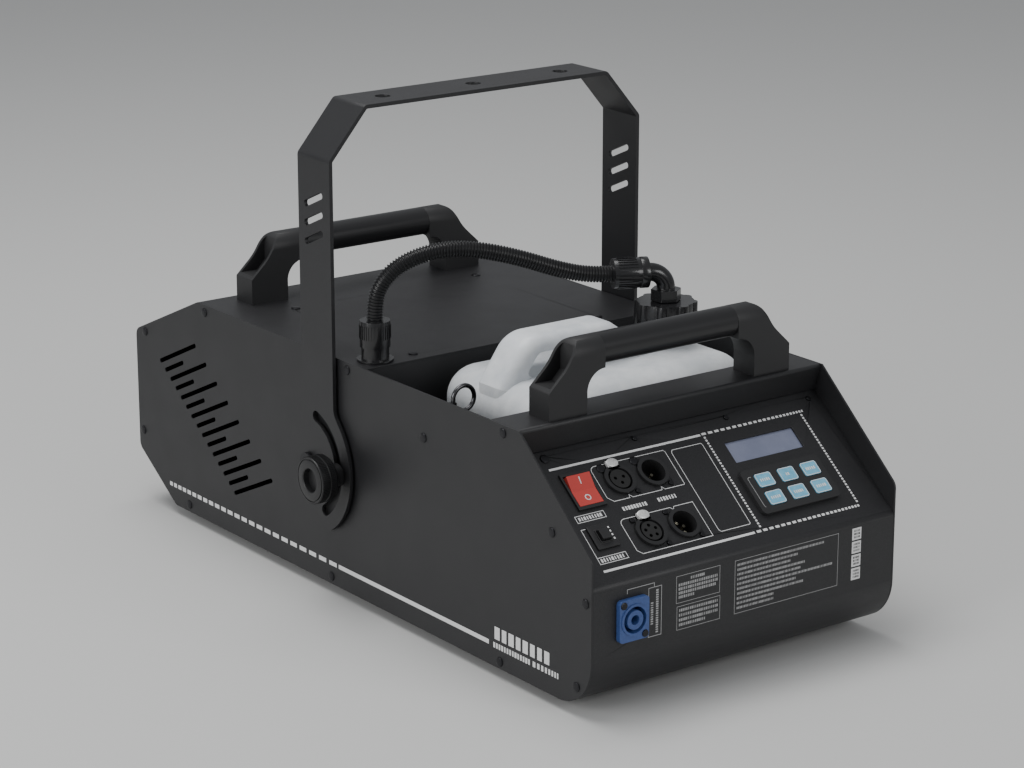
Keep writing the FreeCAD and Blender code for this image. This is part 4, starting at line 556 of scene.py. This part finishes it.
# Fluid tank: blow-moulded natural polyethylene, milky and slightly uneven, with a carrying grip
# and the dip tube inside.
natural = grain(shader("natural_polyethylene", (0.74, 0.76, 0.78), 0.42), 60, 0.0006,
                shades=((0.66, 0.69, 0.72), (0.80, 0.82, 0.84)), roughness=(0.34, 0.5))
milk = natural.node_tree.nodes["Principled BSDF"]
milk.inputs["Subsurface Weight"].default_value = 0.25
milk.inputs["Subsurface Radius"].default_value = (0.012, 0.012, 0.013)
milk.inputs["Subsurface Scale"].default_value = 1.0
dressed(natural, "fluid_tank")
dip = grain(shader("dip_tube", (0.66, 0.68, 0.68), 0.4), 300, 0.0001, roughness=(0.34, 0.46))
dressed(dip, "fluid_pickup_tube")
ring_steel = grain(shader("ring_steel", (0.10, 0.10, 0.105), 0.25, 1.0), 400, 0.00003,
                   roughness=(0.18, 0.34))
dressed(ring_steel, "tank_strap_ring")


# Cap, elbow and glands: semi-gloss black mouldings, screwed together. The two gland nuts carry
# fine grip ribs.
gloss_black = grain(shader("gloss_black", (0.012, 0.012, 0.013), 0.24, coat=0.15), 500, 0.00006,
                    roughness=(0.18, 0.32))
dressed(gloss_black, "tank_cap", "tank_elbow", "tank_gland_nut", "cover_gland")
eased("tank_cap", 0.0009, 3)
eased("tank_elbow", 0.0004)
eased("tank_gland_nut", 0.0006, 3)
eased("cover_gland", 0.0005, 3)


def axis_frame(origin, direction):
    """The placement that sends Z along a direction from an origin."""
    return (Matrix.Translation(origin)
            @ Vector(direction).to_track_quat("Z", "Y").to_matrix().to_4x4())


gland_top = Vector((cover_gland.x, cover_gland.y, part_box("cover_gland")[1][2]))
gland_ribs = ribbed(36, 0.0117, 0.0105, 0.0008, 0.0008, -0.0085, gloss_black)
gland_ribs.transform(Matrix.Translation(gland_top))
finished(gland_ribs, "cover_gland_ribs", gloss_black, "chassis", 30)
low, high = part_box("tank_gland_nut")
nut_middle = (Vector(low) + Vector(high)) / 2
nut_ribs = ribbed(30, 0.0118, 0.0150, 0.0008, 0.0008, 0, gloss_black)
nut_ribs.transform(axis_frame(nut_middle, (math.cos(hose_heading), math.sin(hose_heading), 0)))
finished(nut_ribs, "tank_gland_ribs", gloss_black, "chassis", 30)


# Printing on the control panel: white screen-printed lines, a dotted frame round the display and
# keypad, and plain bars where wording would be. No lettering is drawn.
dash_tree, start, end = tree_with("dash_row", [
    ("Count", "NodeSocketInt"), ("Pitch", "NodeSocketFloat"), ("Shrink", "NodeSocketFloat"),
    ("Fill", "NodeSocketFloat"), ("Unevenness", "NodeSocketFloat"), ("Height", "NodeSocketFloat"),
    ("Seed", "NodeSocketInt"), ("Material", "NodeSocketMaterial")])
links = dash_tree.links


def worked(operation, *inputs):
    """A math node in the dash tree; inputs are numbers or sockets."""
    node = dash_tree.nodes.new("ShaderNodeMath")
    node.operation = operation
    for slot, value in zip(node.inputs, inputs):
        if isinstance(value, (int, float)):
            slot.default_value = value
        else:
            links.new(value, slot)
    return node.outputs[0]


count = dash_tree.nodes.new("GeometryNodePoints")
order = dash_tree.nodes.new("GeometryNodeInputIndex").outputs[0]
half_steps = worked("MULTIPLY", worked("MULTIPLY", order, worked("SUBTRACT", order, 1.0)), 0.5)
along = worked("SUBTRACT", worked("MULTIPLY", order, start.outputs["Pitch"]),
               worked("MULTIPLY", half_steps, start.outputs["Shrink"]))
place = dash_tree.nodes.new("ShaderNodeCombineXYZ")
pitch_here = worked("SUBTRACT", start.outputs["Pitch"],
                    worked("MULTIPLY", order, start.outputs["Shrink"]))
chance = dash_tree.nodes.new("FunctionNodeRandomValue")
chance.data_type = "FLOAT"
chance.inputs[2].default_value = -1.0
chance.inputs[3].default_value = 1.0
share = worked("MULTIPLY_ADD", chance.outputs[1], start.outputs["Unevenness"],
               start.outputs["Fill"])
spread = dash_tree.nodes.new("ShaderNodeCombineXYZ")
tile = dash_tree.nodes.new("GeometryNodeMeshGrid")
for label, value in (("Size X", 1.0), ("Size Y", 1.0), ("Vertices X", 2), ("Vertices Y", 2)):
    tile.inputs[label].default_value = value
plant = dash_tree.nodes.new("GeometryNodeInstanceOnPoints")
links.new(start.outputs["Count"], count.inputs["Count"])
links.new(along, place.inputs["X"])
links.new(place.outputs["Vector"], count.inputs["Position"])
links.new(start.outputs["Seed"], chance.inputs["Seed"])
links.new(worked("MULTIPLY", pitch_here, share), spread.inputs["X"])
links.new(start.outputs["Height"], spread.inputs["Y"])
spread.inputs["Z"].default_value = 1.0
links.new(count.outputs[0], plant.inputs["Points"])
links.new(tile.outputs["Mesh"], plant.inputs["Instance"])
links.new(spread.outputs["Vector"], plant.inputs["Scale"])
close_tree(dash_tree, end, plant.outputs["Instances"], start.outputs["Material"])

print_white = grain(shader("print_white", (0.78, 0.78, 0.78), 0.5), 2500, 0.00002,
                    shades=((0.70, 0.70, 0.70), (0.84, 0.84, 0.84)), roughness=(0.42, 0.58))
print_grey = grain(shader("print_grey", (0.40, 0.40, 0.40), 0.55), 2500, 0.00002,
                   shades=((0.34, 0.34, 0.34), (0.46, 0.46, 0.46)), roughness=(0.48, 0.62))


def dashes(x, y, count, pitch, shrink, height, fill=0.66, unevenness=0.0, seed=1, turn=0.0):
    """A row of dashes that starts at (x, y) in millimetres; its pitch may shrink step by step."""
    mesh = grown(bpy.data.meshes.new("blank"), dash_tree, {
        "Count": count, "Pitch": pitch / 1000, "Shrink": shrink / 1000, "Fill": fill,
        "Unevenness": unevenness, "Height": height / 1000, "Seed": seed,
        "Material": print_white})
    mesh.transform(Matrix.Translation((x / 1000, y / 1000, 0)) @ Matrix.Rotation(turn, 4, "Z"))
    return mesh


def bars(x, y, length, height, seed):
    """Plain uneven bars that stand for a line of wording; x is their left end."""
    pitch = height * 0.78
    return dashes(x + pitch / 2, y, max(2, round(length / pitch)), pitch, 0, height, 0.6, 0.2,
                  seed)


def stroke(points, width, closed=False):
    """A flat line of one width through corners given in millimetres, mitred at each corner."""
    path = [Vector(point) / 1000 for point in points]
    half = width / 2000
    rails, total = [], len(path)
    for number, point in enumerate(path):
        before = path[number - 1] if number or closed else None
        after = path[(number + 1) % total] if number < total - 1 or closed else None
        ways = []
        if before is not None:
            ways.append((point - before).normalized())
        if after is not None:
            ways.append((after - point).normalized())
        normals = [Vector((-way.y, way.x)) for way in ways]
        mitre = sum(normals, Vector((0, 0))).normalized()
        reach = half / max(0.35, mitre.dot(normals[0]))
        rails.append((point + mitre * reach, point - mitre * reach))
    vertices = [(*corner, 0) for rail in rails for corner in rail]
    last = total if closed else total - 1
    faces = [(2 * n, 2 * n + 1, (2 * n + 3) % (2 * total), (2 * n + 2) % (2 * total))
             for n in range(last)]
    mesh = bpy.data.meshes.new("stroke")
    mesh.from_pydata(vertices, [], faces)
    return mesh


def soft_corner(x, y, radius, start_angle):
    """Five points round a quarter turn, clockwise from a start angle in degrees."""
    return [(x + radius * math.cos(math.radians(start_angle - step * 22.5)),
             y + radius * math.sin(math.radians(start_angle - step * 22.5))) for step in range(5)]


def upward(mesh):
    """Turn every face of flat printing to look along +Z."""
    shape = bmesh.new()
    shape.from_mesh(mesh)
    for face in shape.faces:
        face.normal_update()
        if face.normal.z < 0:
            face.normal_flip()
    shape.to_mesh(mesh)
    shape.free()
    return mesh


slope = math.radians(38.9)
ink_lift = 0.00006
fold_height = 0.0904
panel = (Matrix.Translation((0, front_y, base_z + fold_height)) @ Matrix.Rotation(slope, 4, "X")
         @ Matrix.Translation((0, 0, ink_lift)))
shapes = [
    stroke([(-119.7, 99.8), (18.4, 99.8)], 1.8), stroke([(-123.7, 12.6), (13.6, 12.6)], 1.8),
    dashes(21.9, 100.2, 23, 6.2, 0.177, 1.9), dashes(17.6, 12.7, 23, 6.0, 0.155, 1.9),
    dashes(20.9, 16.4, 32, 2.595, 0, 1.7, 0.62, turn=math.pi / 2),
    dashes(114.9, 16.4, 32, 2.595, 0, 1.7, 0.62, turn=math.pi / 2),
    # blank box, left of the display
    stroke([(-14.0, 91), (-12.4, 93.2), (14.8, 93.2), (15.4, 91.5), (14.7, 20.9), (13.8, 20.1),
            (-12.8, 20.1), (-14.2, 22.0)], 0.5, True),
    # upper pair of sockets: a notch in the lower edge points at each
    stroke(soft_corner(-83, 90.5, 4.2, 180) + [(-20.0, 94.7), (-18.8, 93.5), (-18.8, 64.5),
           (-19.6, 63.8), (-37, 63.8), (-39, 66.4), (-39.8, 63.8), (-66.4, 63.8), (-68.4, 66.4),
           (-69.2, 63.8), (-83.2, 63.8), (-87.2, 68.0)], 0.5, True),
    # lower pair
    stroke(soft_corner(-84.3, 44.3, 4.2, 180) + [(-42.4, 48.5), (-40.2, 46.4), (-38.8, 48.7),
           (-21.5, 48.7), (-21.5, 18.6), (-85, 18.6), (-88.5, 22.0)], 0.5, True),
    stroke([(-121.4, 59.1), (-96.4, 59.1), (-96.4, 53.7), (-121.4, 53.7)], 0.5, True),
    bars(-119.8, 56.4, 21.8, 3.0, 4),
    stroke([(-118.3, 47.9), (-122.4, 47.9), (-122.8, 18.5), (-98, 18.5), (-98, 23.7),
            (-122.7, 23.7)], 0.5),
    bars(-121.2, 21.1, 21.6, 3.0, 7),
    bars(-80.7, 56.3, 22, 3.2, 11), bars(-48.6, 56.7, 17, 3.2, 12),
]
panel_print = upward(joined(shapes))
panel_print.transform(panel)
finished(panel_print, "panel_print", print_white, "chassis")

# Printing on the panel's lower front: three framed notes in plain bars, four small white tiles,
# and the bracket and frame beside the inlet.
front_plane = (Matrix.Translation((0, front_y - ink_lift, base_z))
               @ Matrix.Rotation(math.pi / 2, 4, "X"))
shapes = [stroke([(-66.6, 85.1), (-26.9, 85.1), (-26.9, 65.1), (-66.6, 65.1)], 0.35, True),
          stroke([(-65.8, 62.4), (-26.4, 62.4), (-26.4, 45.0), (-65.8, 45.0)], 0.35, True),
          stroke([(-12.8, 85.2), (85.8, 85.2), (85.8, 45.2), (-12.8, 45.2)], 0.35, True),
          stroke([(-110.6, 82.0), (-110.6, 85.2), (-86.6, 85.2), (-86.6, 82.0)], 0.5),
          stroke([(-91.5, 82.0), (-80.0, 82.0), (-80.0, 45.7), (-91.5, 45.7)], 0.5, True),
          bars(-54, 81.9, 13, 2.1, 1)]
for row, length in enumerate((36, 35.5, 35, 14.5)):
    shapes.append(bars(-64.8, 78.4 - 3.05 * row, length, 2.1, 20 + row))
for row, length in enumerate((35.5, 35.5, 35.5, 24)):
    shapes.append(bars(-64.2, 59.3 - 3.6 * row, length, 2.1, 30 + row))
for row, length in enumerate((83.5, 57, 50, 64.5, 61, 91, 56, 63, 35, 35)):
    shapes.append(bars(-10.8, 81.7 - 3.62 * row, length, 1.8, 40 + row))
for row, (length, offset) in enumerate(((17, 8.5), (33, 1.8))):
    line = bars(0, 0, length, 2.2, 60 + row)
    line.transform(Matrix.Translation(((-88.4 + 4.6 * row) / 1000, (45.7 + offset) / 1000, 0))
                   @ Matrix.Rotation(math.pi / 2, 4, "Z"))
    shapes.append(line)
front_print = upward(joined(shapes))
front_print.transform(front_plane)
finished(front_print, "front_print", print_grey, "chassis")
tiles = [stroke([(99.5, 81.3 - 10.3 * row), (108.4, 81.3 - 10.3 * row)], 9.1)
         for row in range(4)]
front_tiles = upward(joined(tiles))
front_tiles.transform(front_plane)
finished(front_tiles, "front_tiles", print_white, "chassis")
marks = [bars(101.0, 81.3 - 10.3 * row + shift, 6, 1.6, 70 + row * 3 + step)
         for row in range(4) for step, shift in enumerate((-2.4, 0, 2.4))]
front_marks = upward(joined(marks))
front_marks.transform(Matrix.Translation((0, -0.00004, 0)) @ front_plane)
mark_black = grain(shader("print_black", (0.02, 0.02, 0.02), 0.5), 2500, 0.00002,
                   roughness=(0.45, 0.6))
finished(front_marks, "front_tile_marks", mark_black, "chassis")

# Printing on the side plates: a stripe that breaks up into shrinking dashes towards the nozzle,
# and plain blocks where the name would be.
half_width, half_length = 0.142, 0.309
for side, label in ((-1, "left"), (1, "right")):
    across = Matrix(((0, 0, side, side * (half_width + ink_lift)), (1, 0, 0, front_y + half_length),
                     (0, 1, 0, base_z), (0, 0, 0, 1)))
    shapes = [stroke([(-190, 17), (6, 17)], 3.5), dashes(14, 17, 24, 14.6, 0.36, 3.5, 0.72)]
    shapes += [dashes(-200, 26.2, 8, -8.4, 0, 9.6, 0.7, 0.08, 4),
               dashes(-196.5, 16.6, 14, -3.2, 0, 4.2, 0.68, 0.14, 6),
               dashes(-244, 16.6, 8, -5.0, -0.36, 4.2, 0.62)]
    side_print = upward(joined(shapes))
    side_print.transform(across)
    if side < 0:
        side_print.flip_normals()
    finished(side_print, label + "_side_print", print_white, "chassis")


# Rocker switch: a glossy, faintly glowing red rocker in a black bezel, with the two usual marks.
def laid_on(mesh, node, direction, lift=ink_lift):
    """Lay flat marks on a CAD part's surface, seen against a direction."""
    part = nodes[node]
    vertices = [part.matrix_world @ vertex.co for vertex in part.data.vertices]
    surface = BVHTree.FromPolygons(vertices, [tuple(face.vertices) for face in part.data.polygons])
    direction = Vector(direction).normalized()
    for vertex in mesh.vertices:
        hit, _, _, _ = surface.ray_cast(vertex.co + direction * 0.05, -direction)
        if hit is not None:
            vertex.co = hit + direction * lift
    return mesh


panel_out = Vector((0, -math.sin(slope), math.cos(slope)))
rocker_red = grain(shader("rocker_red", (0.50, 0.055, 0.045), 0.22, coat=0.4), 300, 0.00003,
                   roughness=(0.18, 0.30))
glow = rocker_red.node_tree.nodes["Principled BSDF"]
glow.inputs["Emission Color"].default_value = (0.7, 0.04, 0.03, 1)
glow.inputs["Emission Strength"].default_value = 0.06
dressed(rocker_red, "power_rocker")
eased("power_rocker", 0.0006, 3)
dressed(nylon, "rocker_housing")
eased("rocker_housing", 0.0005, 3)
circle = [(-103 + 2.1 * math.cos(2 * math.pi * n / 24), 71.2 + 2.1 * math.sin(2 * math.pi * n / 24))
          for n in range(24)]
rocker_marks = upward(joined([stroke([(-103, 82.2), (-103, 87.4)], 0.9),
                              stroke(circle, 0.8, True)]))
rocker_marks.transform(panel)
finished(laid_on(rocker_marks, "power_rocker", panel_out), "rocker_marks", print_white, "rocker")


# Breaker: a square black reset breaker; four tiny plain marks stand beside its button.
dressed(nylon, "breaker_housing", "breaker_button")
eased("breaker_housing", 0.0005, 3)
eased("breaker_button", 0.0004, 3)
breaker_marks = upward(dashes(-101.2, 44.6, 4, 3.1, 0, 1.3, 0.5, turn=-math.pi / 2))
breaker_marks.transform(panel)
finished(laid_on(breaker_marks, "breaker_housing", panel_out), "breaker_marks", print_white,
         "chassis")


# Data sockets: satin black shells and plated pins. Each latch is pressed on an oval tab with a
# rounded rim, drawn over its stem; it rides on the latch and stands for its plain block.
shell_black = grain(shader("socket_black", (0.018, 0.018, 0.019), 0.3), 600, 0.00005,
                    roughness=(0.24, 0.38))
insert_black = grain(shader("insert_black", (0.010, 0.010, 0.010), 0.6), 900, 0.00005,
                     roughness=(0.5, 0.68))
tab_silver = grain(shader("tab_silver", (0.80, 0.80, 0.80), 0.32, 0.35), 1400, 0.0001,
                   shades=((0.62, 0.62, 0.61), (0.90, 0.90, 0.89)), roughness=(0.26, 0.42))
pin_brass = grain(shader("pin_plating", (0.86, 0.80, 0.62), 0.22, 1.0), 500, 0.00003,
                  roughness=(0.16, 0.3))
for pins in ("3pin", "5pin"):
    for way in ("out", "in"):
        dressed(shell_black, f"data_{way}_{pins}_shell")
        eased(f"data_{way}_{pins}_shell", 0.0004, 3)
    dressed(insert_black, f"data_out_{pins}_insert")
    node = f"data_out_{pins}_latch"
    stand_in = nodes[node]
    corners = [stand_in.matrix_world @ vertex.co for vertex in stand_in.data.vertices]
    middle = sum(corners, Vector()) / len(corners)
    tab = turned([(0, 0.0004), (4.4e-3, 0.0004), (5.0e-3, 0.0007), (5.0e-3, 0.0011),
                  (4.3e-3, 0.0015), (0, 0.0016)])
    tab.transform(Matrix.Diagonal((1, 0.72, 1, 1)))
    tab = joined([tab, block(0.0096, 0.005, 0.0021, (0, 0, -0.00055), 0.0003)])
    tab.transform(Matrix.Translation(middle) @ Matrix.Rotation(slope, 4, "X"))
    finished(tab, node + "_tab", tab_silver, f"latch_{pins}", 50, (node,))
    dressed(pin_brass, f"data_in_{pins}_pins")


# Display and keypad: a grey-blue display behind the panel's window, and six pale blue domed keys
# with plain white marks in a raised bezel.
display = grain(shader("display_face", (0.20, 0.22, 0.31), 0.14, coat=0.5), 30, 0.00001,
                shades=((0.18, 0.20, 0.29), (0.23, 0.25, 0.35)), roughness=(0.10, 0.18))
dressed(display, "display_window")
board = grain(shader("board_green", (0.02, 0.10, 0.05), 0.35), 400, 0.0001,
              shades=((0.015, 0.08, 0.04), (0.03, 0.13, 0.06)), roughness=(0.28, 0.45))
dressed(board, "display_module", "control_board")
dressed(nylon, "keypad_bezel")
eased("keypad_bezel", 0.0007, 3)
key_blue = grain(shader("key_blue", (0.17, 0.47, 0.66), 0.25, coat=0.3), 260, 0.00003,
                 shades=((0.15, 0.43, 0.61), (0.21, 0.53, 0.72)), roughness=(0.2, 0.32))
keys = ("timer_key", "volume_key", "manual_key", "function_key", "up_key", "down_key")
for number, node in enumerate(keys):
    dressed(key_blue, node)
    eased(node, 0.0005, 3)
    x, y = 46 + 22 * (number % 3), 34.4 + 15.8 * (number // 3)
    rim = stroke([(x - 7, y - 4.4), (x - 6, y - 5.3), (x + 6, y - 5.3), (x + 7, y - 4.4),
                  (x + 7, y + 4.4), (x + 6, y + 5.3), (x - 6, y + 5.3), (x - 7, y + 4.4)],
                 0.5, True)
    wide = 4.6 if node == "up_key" else 9.6
    marks = upward(joined([rim, bars(x - wide / 2, y, wide, 2.4, 80 + number)]))
    marks.transform(panel)
    finished(laid_on(marks, node, panel_out), node + "_marks", print_white, node)
bezel_line = upward(stroke([(35.5, 54.8), (33.2, 54.8), (32.2, 53.8), (32.2, 29.6), (33.0, 28.4)],
                           0.4))
bezel_line.transform(panel)
finished(laid_on(bezel_line, "keypad_bezel", panel_out), "bezel_line", print_grey, "chassis")


# Mains inlet: a blue moulded locking connector, held by two screws, with a ring-shaped core
# inside its round mouth.
inlet_blue = grain(shader("inlet_blue", (0.045, 0.09, 0.27), 0.40), 500, 0.0001,
                   shades=((0.040, 0.08, 0.24), (0.052, 0.105, 0.30)), roughness=(0.34, 0.48))
dressed(inlet_blue, "power_inlet")
eased("power_inlet", 0.0005, 3)


# Works inside: heater on its stands and pump, in cast grey, hidden but for the vents, and the
# brass nozzle, which stands out through the end panel.
iron = grain(shader("cast_grey", (0.10, 0.10, 0.105), 0.6, 0.6), 250, 0.0003,
             roughness=(0.5, 0.7))
dressed(iron, "heater_block", "fluid_pump")
brass = grain(shader("nozzle_brass", (0.62, 0.42, 0.16), 0.3, 1.0), 300, 0.00004,
              roughness=(0.24, 0.4))
dressed(brass, "nozzle")
eased("nozzle", 0.0004)
